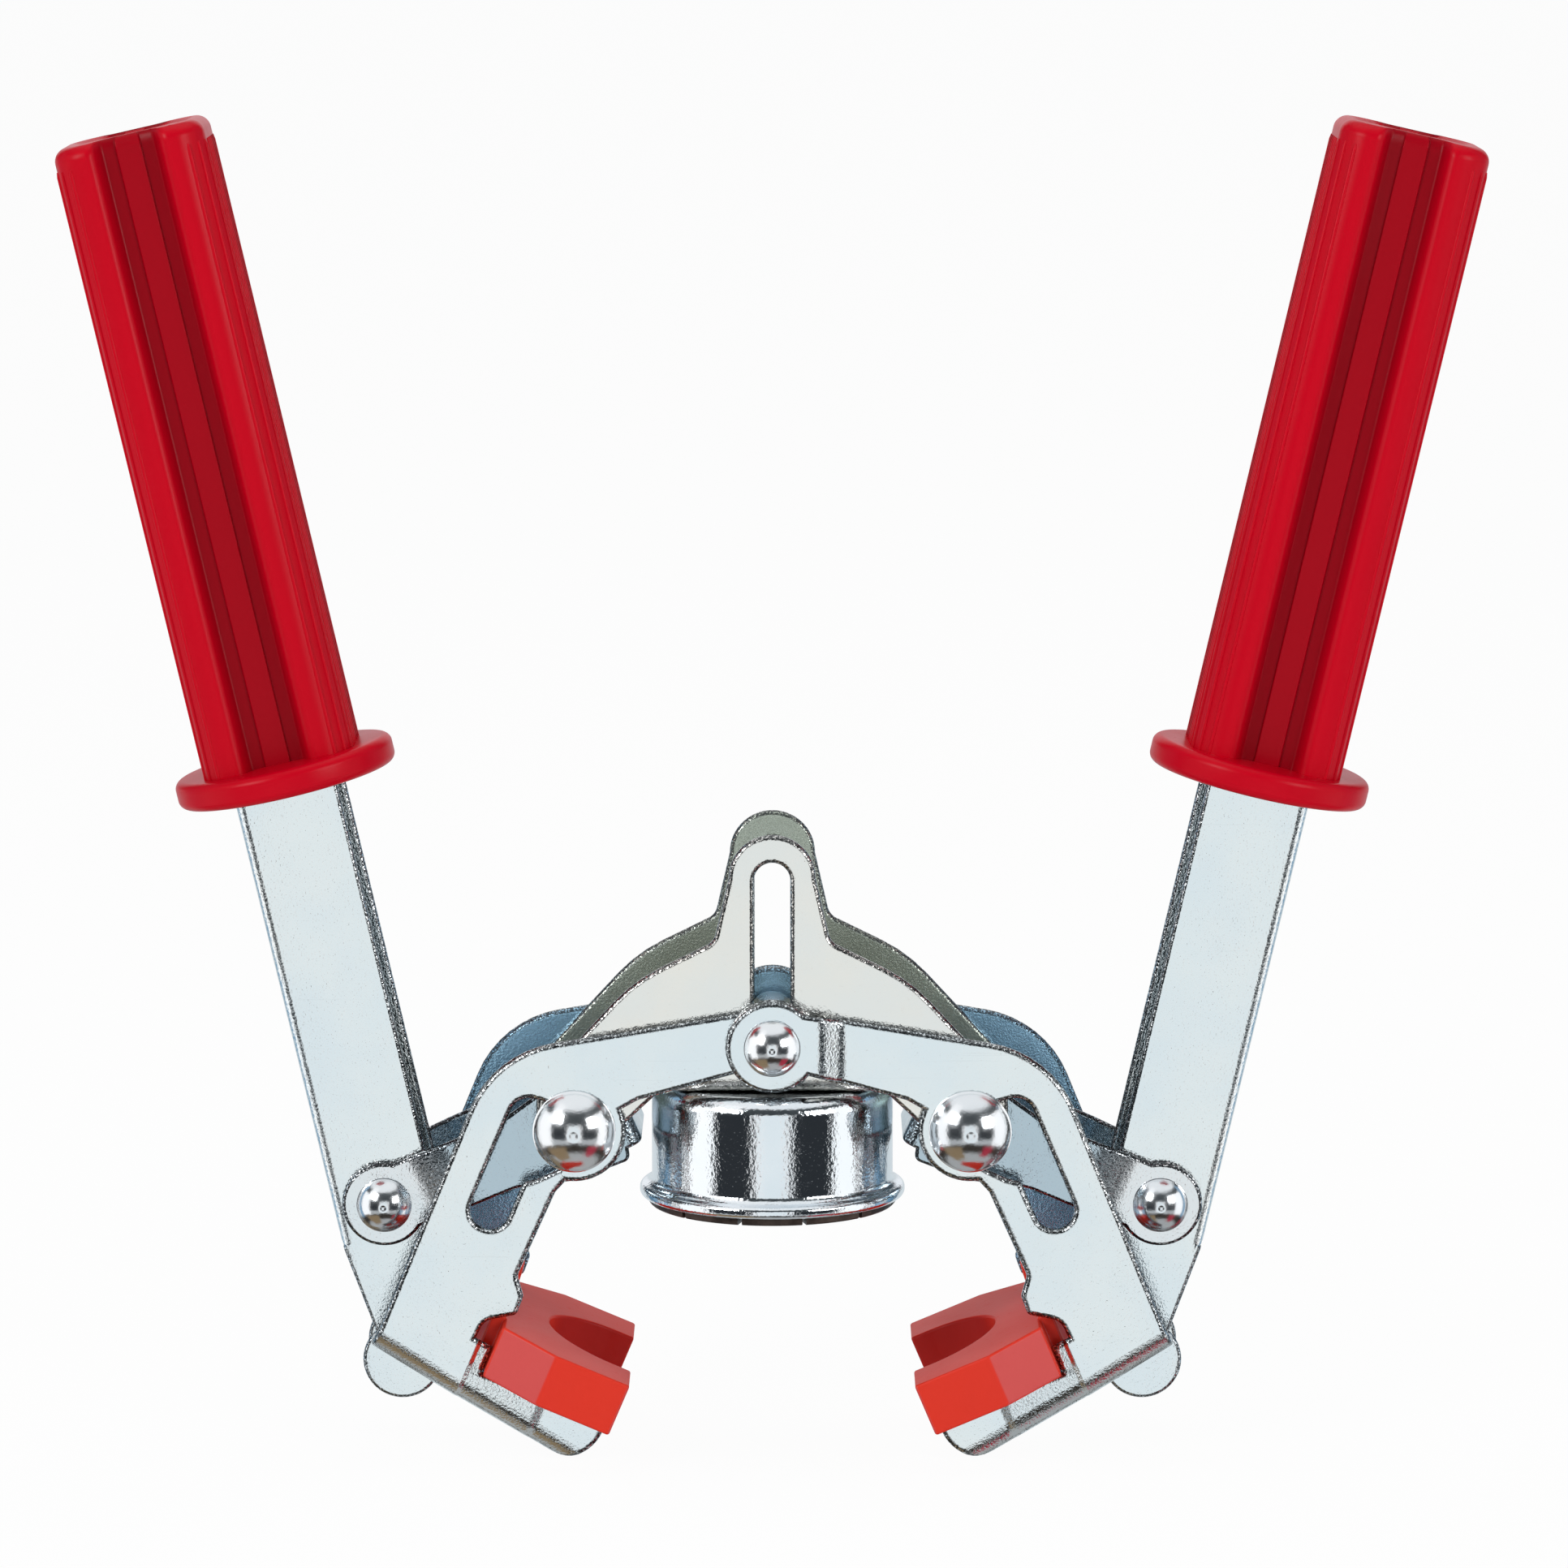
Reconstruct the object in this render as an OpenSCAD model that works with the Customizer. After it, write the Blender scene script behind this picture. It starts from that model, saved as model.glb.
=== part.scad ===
// Twin-lever bottle capper, in millimetres.
// The origin is the centre of the lower end of the straight crimping bore, on the bottle's axis.
// +Z points up along the bottle, X runs across the two levers, and the front faces -Y.

/* [Crimping bell] */
// Diameter of the bell's body
bell_d = 46; // [44:0.5:47]
// Diameter of the rolled rim at the bell's foot
rim_d = 50.6; // [49.8:0.2:52]
// Height of the rolled rim
rim_h = 2.8; // [2:0.1:4]
// Height of the bell from the rim's underside to its top
bell_h = 22.4; // [21:0.2:26]
// Wall of the bell
bell_wall = 2; // [1.5:0.1:2.6]
// Radius of the bell's rounded shoulder
shoulder_r = 3.5; // [2.8:0.1:5]

/* [Crimping collet] */
// Diameter of the crimping bore
crimp_d = 28.8; // [27:0.1:31]
// Length of the straight crimping bore
crimp_len = 7.5; // [6:0.5:8]
// Height of the flared mouth below the bore
mouth_h = 2; // [1:0.1:3]
// Widening of the flared mouth, in radius
mouth_flare = 2; // [1:0.1:3]
// Height of the unslotted band above the fingers
band_h = 3.5; // [2:0.5:4]
// Height of the lip under the bell's rim
lip_h = 1.3; // [1:0.1:2]
// Diameter of the lip under the bell's rim
lip_d = 47.2; // [46:0.1:49]
// Number of slots between the fingers
finger_slots = 12; // [8:1:16]
// Width of each slot
finger_slot_w = 0.8; // [0.5:0.1:1.4]

/* [Cap magnet and bell rivet] */
// Diameter of the magnet
magnet_d = 14; // [10:0.5:18]
// Height of the magnet
magnet_h = 6; // [4:0.5:7]
// Diameter of the bell rivet's shank
bell_rivet_d = 6; // [4:0.5:7]
// Diameter of the bell rivet's heads
bell_rivet_head_d = 11; // [9:0.5:14]
// Height of the bell rivet's upper head
bell_rivet_top_h = 1.6; // [1:0.1:1.8]
// Height of the bell rivet's lower head
bell_rivet_foot_h = 2; // [1:0.1:2.4]

/* [Rivet places at rest] */
// Height of the centre pin above the bell's top
pin_above_bell = 9.6; // [9.3:0.1:12]
// Distance of each head rivet from the bottle's axis
head_rivet_x = 37.3; // [36.6:0.1:39]
// Drop of the head rivets below the centre pin
head_rivet_drop = 16.3; // [15.5:0.1:17.5]
// Distance of each link rivet from the bottle's axis
link_rivet_x = 73.6; // [71:0.1:76]
// Drop of the link rivets below the centre pin
link_rivet_drop = 31.9; // [30:0.1:34]
// Distance of each lever toe from the bottle's axis
toe_x = 70.5; // [69:0.1:72]
// Drop of the lever toes below the centre pin
toe_drop = 62.5; // [61:0.1:64]

/* [Travel] */
// Rise of the centre pin in the tower slots
stroke = 24; // [16:0.5:26]
// Angle that each jaw closes by
jaw_close = 22; // [16:0.5:22.5]

/* [Sheet metal and clearances] */
// Sheet thickness of the jaws and the guide yoke
plate_t = 2; // [1.5:0.1:2.2]
// Sheet thickness of the links and levers
strip_t = 1.8; // [1.4:0.1:2]
// Side clearance between parts that move past each other
side_gap = 0.3; // [0.2:0.05:0.4]
// Radial running clearance of a hole on its rivet
run_gap = 0.05; // [0.02:0.01:0.09]
// Radial clearance of a fixed hole on its rivet
fix_gap = 0.02; // [0.01:0.01:0.05]
// Clearance of parts that are seated in each other
seat_gap = 0.15; // [0.1:0.05:0.25]

/* [Rivets and spacers] */
// Diameter of the head rivets' shanks
head_rivet_d = 6; // [5:0.1:6.2]
// Diameter of the head rivets' domes
head_dome_d = 15.6; // [14:0.2:17]
// Height of the head rivets' domes
head_dome_h = 4.6; // [3:0.2:6]
// Diameter of the centre pin's shank
pin_d = 6.6; // [5:0.1:7]
// Diameter of the centre pin's domes
pin_dome_d = 10.6; // [9.6:0.2:13]
// Height of the centre pin's domes
pin_dome_h = 3.2; // [2:0.2:4.4]
// Diameter of the link rivets' shanks
link_rivet_d = 5.2; // [4:0.1:6]
// Diameter of the link rivets' domes
link_dome_d = 10.4; // [9:0.2:12]
// Height of the link rivets' domes
link_dome_h = 3.4; // [2:0.2:4]
// Wall of the spacer tubes
spacer_wall = 1.3; // [1:0.1:1.5]

/* [Guide yoke] */
// Height of the tower's top above the centre pin at rest
tower_h = 39.7; // [38:0.1:44]
// Half width of the tower's rounded top
tower_r = 8.2; // [7.4:0.1:9]
// Half width of the tower's foot
tower_foot = 11; // [10.4:0.1:12]
// Height of the tower's foot above the centre pin at rest
tower_foot_z = 19.4; // [18:0.1:21]
// Metal left above the tower's slot
tower_bridge = 5.3; // [4:0.1:6]
// Radius of the ears round the head rivets
ear_r = 7.5; // [7:0.1:9]
// Half width of the web that sits on the bell
web_half = 20; // [18.5:0.5:21]

/* [Jaws] */
// Radius of the hub round the centre pin
hub_r = 8.75; // [7.5:0.05:9]
// Radius of the lug round the head rivet
lug_r = 9.8; // [9:0.1:10.2]
// Width of the cam slot
cam_slot_w = 7.4; // [7.2:0.1:8]
// Radial clearance of the cam path round the head rivet
cam_play = 0.4; // [0.3:0.05:0.6]
// Distance of the cam slot's bend outside the head rivet
cam_bend_out = 8.45; // [8:0.05:9]
// Rise of the cam slot's bend above the head rivet
cam_bend_rise = 2.5; // [2:0.1:3]
// Length of the cam slot's long leg
cam_leg_l = 19.3; // [18:0.1:20]
// Radius of the jaw's outer shoulder
jaw_shoulder_r = 21; // [14:0.5:24]
// Tilt of the jaws at rest
jaw_tilt = 23; // [22:0.2:24]
// Distance of the insert's seat from the bottle's axis
seat_x = 52.6; // [52:0.1:53.4]
// Drop of the insert's seat below the centre pin
seat_drop = 58; // [57.4:0.1:58.6]
// Distance from the seat to the jaw's outer edge
blade_w = 21.6; // [20.5:0.1:23]
// Distance from the seat to the jaw's inner end under the insert
foot_reach = 25.5; // [23:0.1:25.6]
// Depth of the foot below the seat at its outer corner
foot_outer_drop = 7.2; // [6.8:0.1:9]
// Depth of the foot below the seat at its inner corner
foot_inner_drop = 17; // [16:0.1:18]
// Radius of the foot's inner corner
foot_corner_r = 6; // [4:0.5:8]
// Distance of the wall's crease outside the insert's seat
crease = 3.2; // [2.8:0.1:3.6]
// Depth of the notch in the wall's edge past the crease
notch_bite = 0.4; // [0.3:0.1:0.8]
// Side clearance of the lever's toe in the foot's opening
toe_side_gap = 0.8; // [0.5:0.1:1.2]
// Reach of the foot's opening past the insert's seat
toe_gap_in = 1; // [0.6:0.1:2]
// Radial clearance of the foot's web round the bottle's neck
neck_relief = 0.5; // [0.3:0.1:1]
// Reach of the outer hub's flat before its slope
hub_stub = 9.3; // [9:0.1:10]
// Length of the outer hub's slope
hub_slope = 5.4; // [4:0.1:6]
// Inward step of the foot's walls beside the insert
foot_step = 2.8; // [1.5:0.1:2.9]
// Length of the slope in the foot's walls
foot_slope = 16.7; // [14:0.1:18]

/* [Inserts] */
// Length of the block from its seat to its mouth
block_l = 26; // [24:0.1:26.2]
// Drop of the block's middle below its seat's height
block_sink = 0.4; // [0:0.1:0.8]
// Height of the block
block_h = 10.4; // [9:0.1:10.6]
// Half depth of the block at its seat
block_seat_half = 20.5; // [19.5:0.1:22]
// Half depth of the block at its mouth
block_mouth_half = 26; // [24:0.1:28]
// Length of the block's widening part
block_taper_l = 11; // [9:0.1:13]
// Diameter of the neck notch
neck_d = 27; // [26:0.1:30]
// Straight run of the notch before its round end
notch_straight = 3.7; // [2:0.1:5]
// Diameter of the retaining disc
disc_d = 28; // [24:0.2:28.4]
// Thickness of the retaining disc
disc_t = 2.6; // [2:0.1:3]

/* [Links] */
// Radius of the link's eye round the link rivet
eye_r = 8; // [7.2:0.1:9]
// Half width of the link's legs
leg_half = 6.6; // [6:0.1:7.2]
// Reach of the link's closed end past the head rivet
link_tail = 10.5; // [9.5:0.1:10.8]
// Inward step of the eyes
eye_step = 2.1; // [1.8:0.1:2.4]
// Distance from the eye's centre to the start of its step
step_from_eye = 10; // [9.4:0.2:12]
// Length of the step
step_l = 5; // [3:0.2:6]

/* [Levers] */
// Tilt of the levers at rest
lever_tilt = 12.9; // [10:0.1:16]
// Width of the lever's front face
lever_w = 19.7; // [18:0.1:21]
// Depth of the lever's channel
lever_depth = 19.2; // [17:0.1:20]
// Reach of the lever above the link rivet
lever_reach = 195; // [150:1:198]
// Reach of the lever's back below the link rivet
back_below = 2; // [1:0.1:4]
// Radius of the lever's rounded toe
toe_r = 7.5; // [6:0.1:8]

/* [Grips] */
// Distance from the link rivet to the grip's lower face
grip_from_rivet = 81; // [70:0.5:95]
// Length of the grip with its flange
grip_l = 126.5; // [122:0.5:140]
// Width of the grip
grip_w = 28.5; // [26.5:0.1:32]
// Depth of the grip
grip_depth = 27; // [26:0.1:32]
// Radius of the grip's rounded lobes
lobe_r = 7.5; // [6:0.1:8.4]
// Width of the channels in the grip's front and back
channel_w = 10.4; // [8:0.1:11]
// Depth of the channels
channel_depth = 2.2; // [1:0.1:2.4]
// Diameter of the hand flange
flange_d = 42; // [38:0.5:50]
// Thickness of the hand flange
flange_t = 5.4; // [4:0.1:7]
// Number of fine ribs on each side of the grip
side_ribs = 4; // [2:1:5]
// Spacing of the fine ribs
rib_pitch = 2.4; // [1.6:0.1:2.6]
// Height of the fine ribs
rib_h = 0.4; // [0.2:0.05:0.6]

/* [Hidden] */
$fn = 96;
// Extra length that carries a cut clear through a face
past = 1;
// Inset that buries the end of a wall in the plate that it joins
seam = 0.05;
// Longer than any cut in the jaws
far = 120;

// Heights in the part's frame
collet_z = -mouth_h;
rim_z = collet_z + lip_h + seat_gap;
bell_top = rim_z + bell_h;
pin_z = bell_top + pin_above_bell;

// Half depths of the layers, from the lever outwards
lever_half = lever_depth / 2;
eye_in = lever_half + side_gap;
eye_out = eye_in + strip_t;
leg_in = eye_in + eye_step;
leg_out = leg_in + strip_t;
guide_in = leg_out + side_gap;
guide_out = guide_in + plate_t;
jaw_in = guide_out + side_gap;
jaw_out = jaw_in + plate_t;
hub_in = jaw_out + side_gap;
hub_out = hub_in + plate_t;

// Rivet places as [x, z] from the centre pin at rest, on the right side
head_rivet = [head_rivet_x, -head_rivet_drop];
link_rivet = [link_rivet_x, -link_rivet_drop];
toe = [toe_x, -toe_drop];
seat = [seat_x, -seat_drop];
link_v = link_rivet - head_rivet;
link_l = norm(link_v);
link_drop_angle = -atan2(link_v[1], link_v[0]);

// The toe's place in the lever's own axes, across and along
toe_v = toe - link_rivet;
toe_across = toe_v[0] * cos(lever_tilt) - toe_v[1] * sin(lever_tilt);
toe_along = toe_v[0] * sin(lever_tilt) + toe_v[1] * cos(lever_tilt);

// The head rivet's place in the jaw when a share of the travel is done
function turned(p, a) = [p[0] * cos(a) - p[1] * sin(a), p[0] * sin(a) + p[1] * cos(a)];
function rivet_in_jaw(share) = turned(head_rivet - [0, stroke * share], jaw_close * share);
cam_steps = 4;
cam_r = head_rivet_d / 2 + cam_play;
// A point on the lower side of the rivet's path
function cam_side(share) =
    let (step = rivet_in_jaw(share + 0.01) - rivet_in_jaw(share - 0.01), along = step / norm(step))
    rivet_in_jaw(share) + cam_r * [along[1], -along[0]];
// Where the line from p along u meets the line from q along v
function meet(p, u, q, v) =
    p + u * (((q[0] - p[0]) * v[1] - (q[1] - p[1]) * v[0]) / (u[0] * v[1] - u[1] * v[0]));

// A point given in the jaw's tilted axes, from the insert's seat
function jaw_pt(across, along) = seat + turned([across, along], jaw_tilt);

// The cam slot's long leg, parallel to the blade
cam_top = head_rivet + [cam_bend_out, cam_bend_rise];
cam_leg_end = cam_top + turned([0, -cam_leg_l], jaw_tilt);

// Block places in the jaw's tilted axes
block_top = block_h / 2 - block_sink;
block_base = block_top - block_h;
notch_x = notch_straight - block_l;
foot_seat = block_base - seat_gap;
relief_r = neck_d / 2 + neck_relief;
// Half width of the toe's opening in the foot's web
toe_gap_half = lever_half + toe_side_gap;

// Rounded outlines: each corner is [x, z, radius]
function corner_arc(a, b, c) =
    let (
        u = [a[0] - b[0], a[1] - b[1]],
        v = [c[0] - b[0], c[1] - b[1]],
        uu = u / norm(u),
        vv = v / norm(v),
        half = acos(max(-1, min(1, uu * vv))) / 2,
        mid = (uu + vv) / max(0.000001, norm(uu + vv)),
        reach = b[2] / tan(half),
        centre = [b[0], b[1]] + mid * (b[2] / sin(half)),
        from = [b[0], b[1]] + uu * reach - centre,
        to = [b[0], b[1]] + vv * reach - centre,
        a0 = atan2(from[1], from[0]),
        turn = atan2(to[1], to[0]) - a0,
        sweep = turn > 180 ? turn - 360 : (turn < -180 ? turn + 360 : turn),
        steps = max(3, ceil(abs(sweep) / 9))
    )
    [for (i = [0 : steps]) centre + b[2] * [cos(a0 + sweep * i / steps), sin(a0 + sweep * i / steps)]];
function rounded(pts) =
    let (n = len(pts))
    [for (i = [0 : n - 1])
        each pts[i][2] > 0
            ? corner_arc(pts[(i + n - 1) % n], pts[i], pts[(i + 1) % n])
            : [[pts[i][0], pts[i][1]]]];
function corner(p, r) = [p[0], p[1], r];

// Shared shapes
module left_side() {
    rotate([0, 0, 180]) children();
}
// A flat outline in x and z, given depth from y0 to y1
module slab(y0, y1) {
    translate([0, y1, 0]) rotate([90, 0, 0]) linear_extrude(y1 - y0) children();
}
// The same outline at the front and at the back
module front_and_back(y0, y1) {
    slab(-y1, -y0) children();
    slab(y0, y1) children();
}
module at_pin() {
    translate([0, 0, pin_z]) children();
}
module at_point(p) {
    translate([p[0], 0, pin_z + p[1]]) children();
}
module in_jaw() {
    at_point(seat) rotate([0, -jaw_tilt, 0]) children();
}
module in_link() {
    at_point(head_rivet) rotate([0, link_drop_angle, 0]) children();
}
module in_lever() {
    at_point(link_rivet) rotate([0, lever_tilt, 0]) children();
}
// A flat bar with round ends from p to q
module bar_2d(p, q, r) {
    v = q - p;
    translate(p) circle(r);
    translate(q) circle(r);
    translate(p) rotate(atan2(v[1], v[0])) translate([0, -r]) square([norm(v), 2 * r]);
}
module dome(d, h) {
    ball = (d * d / 4 + h * h) / (2 * h);
    intersection() {
        translate([0, 0, h - ball]) sphere(ball);
        translate([-d, -d, 0]) cube([2 * d, 2 * d, 2 * h]);
    }
}
// A rivet along Y with a dome at each end
module domed_rivet(d, half, dome_d, dome_h) {
    rotate([90, 0, 0]) cylinder(d = d, h = 2 * half, center = true);
    for (turn = [90, -90]) {
        rotate([turn, 0, 0]) translate([0, 0, half]) dome(dome_d, dome_h);
    }
}
module spacer_tube(d, half) {
    rotate([90, 0, 0]) difference() {
        cylinder(d = d + 2 * (fix_gap + spacer_wall), h = 2 * half, center = true);
        cylinder(d = d + 2 * fix_gap, h = 2 * half + past, center = true);
    }
}

// Crimping head
module bell_shell() {
    body_r = bell_d / 2;
    roll_r = rim_h / 2;
    color("silver") translate([0, 0, rim_z]) difference() {
        rotate_extrude() difference() {
            union() {
                square([body_r - shoulder_r, bell_h]);
                square([body_r, bell_h - shoulder_r]);
                translate([body_r - shoulder_r, bell_h - shoulder_r]) circle(shoulder_r);
                square([rim_d / 2 - roll_r, rim_h]);
                translate([rim_d / 2 - roll_r, roll_r]) circle(roll_r);
            }
            translate([-past, -past]) square([past + body_r - bell_wall, past + bell_h - bell_wall]);
        }
        cylinder(d = bell_rivet_d + 2 * fix_gap, h = bell_h + past);
    }
}
module crimp_collet() {
    bore_r = crimp_d / 2;
    body_r = bell_d / 2 - bell_wall - seat_gap;
    fingers_h = mouth_h + crimp_len;
    color("#2b2624") translate([0, 0, collet_z]) difference() {
        rotate_extrude() polygon([
            [bore_r + mouth_flare, 0],
            [lip_d / 2, 0],
            [lip_d / 2, lip_h],
            [body_r, lip_h],
            [body_r, fingers_h + band_h],
            [bore_r, fingers_h + band_h],
            [bore_r, mouth_h]
        ]);
        for (i = [0 : finger_slots - 1]) {
            rotate([0, 0, (i + 0.5) * 360 / finger_slots])
                translate([0, -finger_slot_w / 2, -past])
                    cube([lip_d, finger_slot_w, past + fingers_h]);
        }
    }
}
module bell_rivet() {
    foot_z = bell_top - bell_wall - bell_rivet_foot_h;
    color("gainsboro") {
        translate([0, 0, foot_z]) cylinder(d = bell_rivet_d, h = bell_top + plate_t - foot_z);
        translate([0, 0, foot_z]) cylinder(d = bell_rivet_head_d, h = bell_rivet_foot_h);
        translate([0, 0, bell_top + plate_t]) dome(bell_rivet_head_d, bell_rivet_top_h);
    }
}
module cap_magnet() {
    magnet_top = bell_top - bell_wall - bell_rivet_foot_h;
    color("dimgray") translate([0, 0, magnet_top - magnet_h]) cylinder(d = magnet_d, h = magnet_h);
}
module guide_half_2d() {
    ear_in = head_rivet_x - ear_r;
    polygon(rounded([
        [0, tower_h - tower_r, 0],
        [tower_r, tower_h - tower_r, 0],
        [tower_foot, tower_foot_z, 3],
        [tower_foot + 15, tower_foot_z - 7.4, 30],
        [head_rivet_x + ear_r - 0.3, 8.3 - head_rivet_drop, 9],
        [head_rivet_x + ear_r - 0.3, -head_rivet_drop, 0],
        [ear_in, -head_rivet_drop - 1, 0],
        [web_half + 1, -pin_above_bell, 2],
        [0, -pin_above_bell, 0]
    ]));
    translate(head_rivet) circle(ear_r);
    translate([0, tower_h - tower_r]) circle(tower_r);
}
module guide_2d() {
    slot_r = pin_d / 2 + 2 * run_gap;
    difference() {
        union() {
            guide_half_2d();
            mirror([1, 0]) guide_half_2d();
        }
        bar_2d([0, 0], [0, tower_h - tower_bridge - slot_r], slot_r);
        for (side = [-1, 1]) {
            translate([side * head_rivet_x, -head_rivet_drop]) circle(d = head_rivet_d + 2 * fix_gap);
        }
    }
}
module guide_yoke() {
    color("lightgray") {
        at_pin() front_and_back(guide_in, guide_out) guide_2d();
        difference() {
            translate([-web_half, -guide_out, bell_top]) cube([2 * web_half, 2 * guide_out, plate_t]);
            translate([0, 0, bell_top - past])
                cylinder(d = bell_rivet_d + 2 * fix_gap, h = plate_t + 2 * past);
        }
    }
}
module head_rivet_piece() {
    color("whitesmoke") at_point(head_rivet)
        domed_rivet(head_rivet_d, jaw_out + side_gap, head_dome_d, head_dome_h);
}
module head_spacer_piece() {
    color("gainsboro") at_point(head_rivet) spacer_tube(head_rivet_d, leg_in - side_gap);
}
module centre_pin() {
    color("whitesmoke") at_pin() domed_rivet(pin_d, hub_out + side_gap, pin_dome_d, pin_dome_h);
}
module pin_spacer() {
    color("gainsboro") at_pin() spacer_tube(pin_d, guide_in - side_gap);
}

// Jaws
module jaw_outline_2d() {
    outer = corner(jaw_pt(blade_w, -foot_outer_drop), 1.5);
    inner = corner(jaw_pt(-foot_reach, -foot_inner_drop), foot_corner_r);
    polygon(rounded([
        [0, hub_r - 1.45, 0],
        corner(jaw_pt(blade_w - 0.5, 52), jaw_shoulder_r),
        outer,
        inner,
        corner(jaw_pt(-foot_reach, foot_seat), 0),
        corner(jaw_pt(seat_gap, foot_seat), 0),
        corner(jaw_pt(seat_gap, -0.4), 0),
        corner(jaw_pt(crease + notch_bite, 0.2), 0),
        corner(jaw_pt(crease - 1.6, 2.9), 0.5),
        corner(jaw_pt(-1.6, 8.4), 0.8),
        corner(jaw_pt(-1.3, 11.2), 1.2),
        corner(jaw_pt(1.3, 14.4), 2),
        corner(jaw_pt(0.9, 32), 1),
        corner(head_rivet + [1, 0.8 - lug_r], 0),
        corner(head_rivet + [2.4 - lug_r, 3.2], 0),
        corner(head_rivet + [-12, 5.8], 2),
        [0, 5.2 - hub_r, 0]
    ]));
    translate(head_rivet) circle(lug_r);
}
module cam_slot_2d() {
    half = cam_slot_w / 2;
    leg = turned([0, -1], jaw_tilt);
    out = turned([1, 0], jaw_tilt);
    bend_v = cam_top - head_rivet;
    arm = bend_v / norm(bend_v);
    up = [-arm[1], arm[0]];
    end_side = cam_side(1);
    polygon(rounded(concat(
        [
            corner(head_rivet + half * (up - arm), half / 2),
            corner(meet(head_rivet + half * up, arm, cam_top + half * out, leg), half),
            corner(cam_leg_end + half * (leg + out), half * 0.98),
            corner(cam_leg_end + half * (leg - out), half * 0.98),
            corner(meet(cam_top - half * out, leg, end_side, cam_side(0.75) - end_side), half / 4)
        ],
        [for (i = [cam_steps - 1 : -1 : 1]) corner(cam_side(i / cam_steps), 0)],
        [corner(head_rivet - half * (up + arm), half / 4)]
    )));
}
module jaw_plate_2d() {
    difference() {
        union() {
            jaw_outline_2d();
            circle(hub_r);
        }
        cam_slot_2d();
        circle(d = pin_d + 2 * run_gap);
    }
}
// The stretch of the foot beside and under the insert
module foot_zone_2d(reach) {
    translate(seat) rotate(jaw_tilt) translate([-far, -far]) square([far + reach, far + 0.3]);
}
// The arm and hub of the plate whose hub stands one layer further out
module stepped_arm() {
    step = hub_in - jaw_in;
    intersection() {
        at_pin() slab(-hub_out, -jaw_in) jaw_plate_2d();
        at_pin() translate([0, 0, -far]) linear_extrude(2 * far) polygon([
            [-hub_r - past, -hub_out],
            [hub_stub, -hub_out],
            [hub_stub + hub_slope, -jaw_out],
            [2 * far, -jaw_out],
            [2 * far, -jaw_in],
            [hub_stub + hub_slope, -jaw_in],
            [hub_stub, -jaw_in - step],
            [-hub_r - past, -jaw_in - step]
        ]);
    }
}
// Plan of the foot's two walls, stepped inwards beside the insert
module foot_walls_plan() {
    tip = -foot_reach - past;
    for (side = [-1, 1]) {
        polygon([
            [crease + past, side * (jaw_out - seam)],
            [crease - foot_slope, side * (jaw_out - foot_step)],
            [tip, side * (jaw_out - foot_step)],
            [tip, side * (jaw_in - foot_step)],
            [crease - foot_slope, side * (jaw_in - foot_step)],
            [crease + past, side * (jaw_in + seam)]
        ]);
    }
}
module foot_web_plan() {
    tip = -foot_reach - past;
    wide = jaw_out - plate_t / 2;
    narrow = wide - foot_step;
    polygon([
        [blade_w + past, -wide],
        [crease, -wide],
        [crease - foot_slope, -narrow],
        [tip, -narrow],
        [tip, narrow],
        [crease - foot_slope, narrow],
        [crease, wide],
        [blade_w + past, wide]
    ]);
}
// The strip of the outline that becomes the foot's web
module foot_web_2d() {
    intersection() {
        jaw_outline_2d();
        polygon([
            jaw_pt(blade_w + past, -foot_outer_drop - past),
            jaw_pt(-foot_reach - past, -foot_inner_drop - past),
            jaw_pt(-foot_reach - past, plate_t - foot_inner_drop),
            jaw_pt(blade_w + past, plate_t - foot_outer_drop)
        ]);
    }
}
module jaw_piece() {
    color("lightsteelblue") {
        difference() {
            union() {
                stepped_arm();
                at_pin() slab(jaw_in, jaw_out) jaw_plate_2d();
            }
            at_pin() slab(-far, far) foot_zone_2d(crease);
        }
        intersection() {
            at_pin() slab(-far, far) intersection() {
                jaw_outline_2d();
                foot_zone_2d(crease + 2 * past);
            }
            in_jaw() translate([0, 0, -far]) linear_extrude(2 * far) foot_walls_plan();
        }
        difference() {
            intersection() {
                at_pin() slab(-far, far) foot_web_2d();
                in_jaw() translate([0, 0, -far]) linear_extrude(2 * far) foot_web_plan();
            }
            in_jaw() translate([-toe_gap_in, -toe_gap_half, -far]) cube([far, 2 * toe_gap_half, 2 * far]);
            in_jaw() translate([notch_x, 0, -far]) cylinder(r = relief_r, h = 2 * far);
            in_jaw() translate([notch_x - far, -relief_r, -far]) cube([far, 2 * relief_r, 2 * far]);
        }
    }
}

// Inserts
module insert_piece() {
    color("tomato") in_jaw() {
        difference() {
            translate([0, 0, block_base]) linear_extrude(block_h) polygon([
                [0, -block_seat_half],
                [-block_taper_l, -block_mouth_half],
                [-block_l, -block_mouth_half],
                [-block_l, block_mouth_half],
                [-block_taper_l, block_mouth_half],
                [0, block_seat_half]
            ]);
            translate([notch_x, 0, block_base - past]) cylinder(d = neck_d, h = block_h + 2 * past);
            translate([-block_l - past, -neck_d / 2, block_base - past])
                cube([notch_straight + past, neck_d, block_h + 2 * past]);
        }
        translate([0, 0, block_base + block_h / 2]) rotate([0, 90, 0]) cylinder(d = disc_d, h = disc_t);
    }
}

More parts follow.
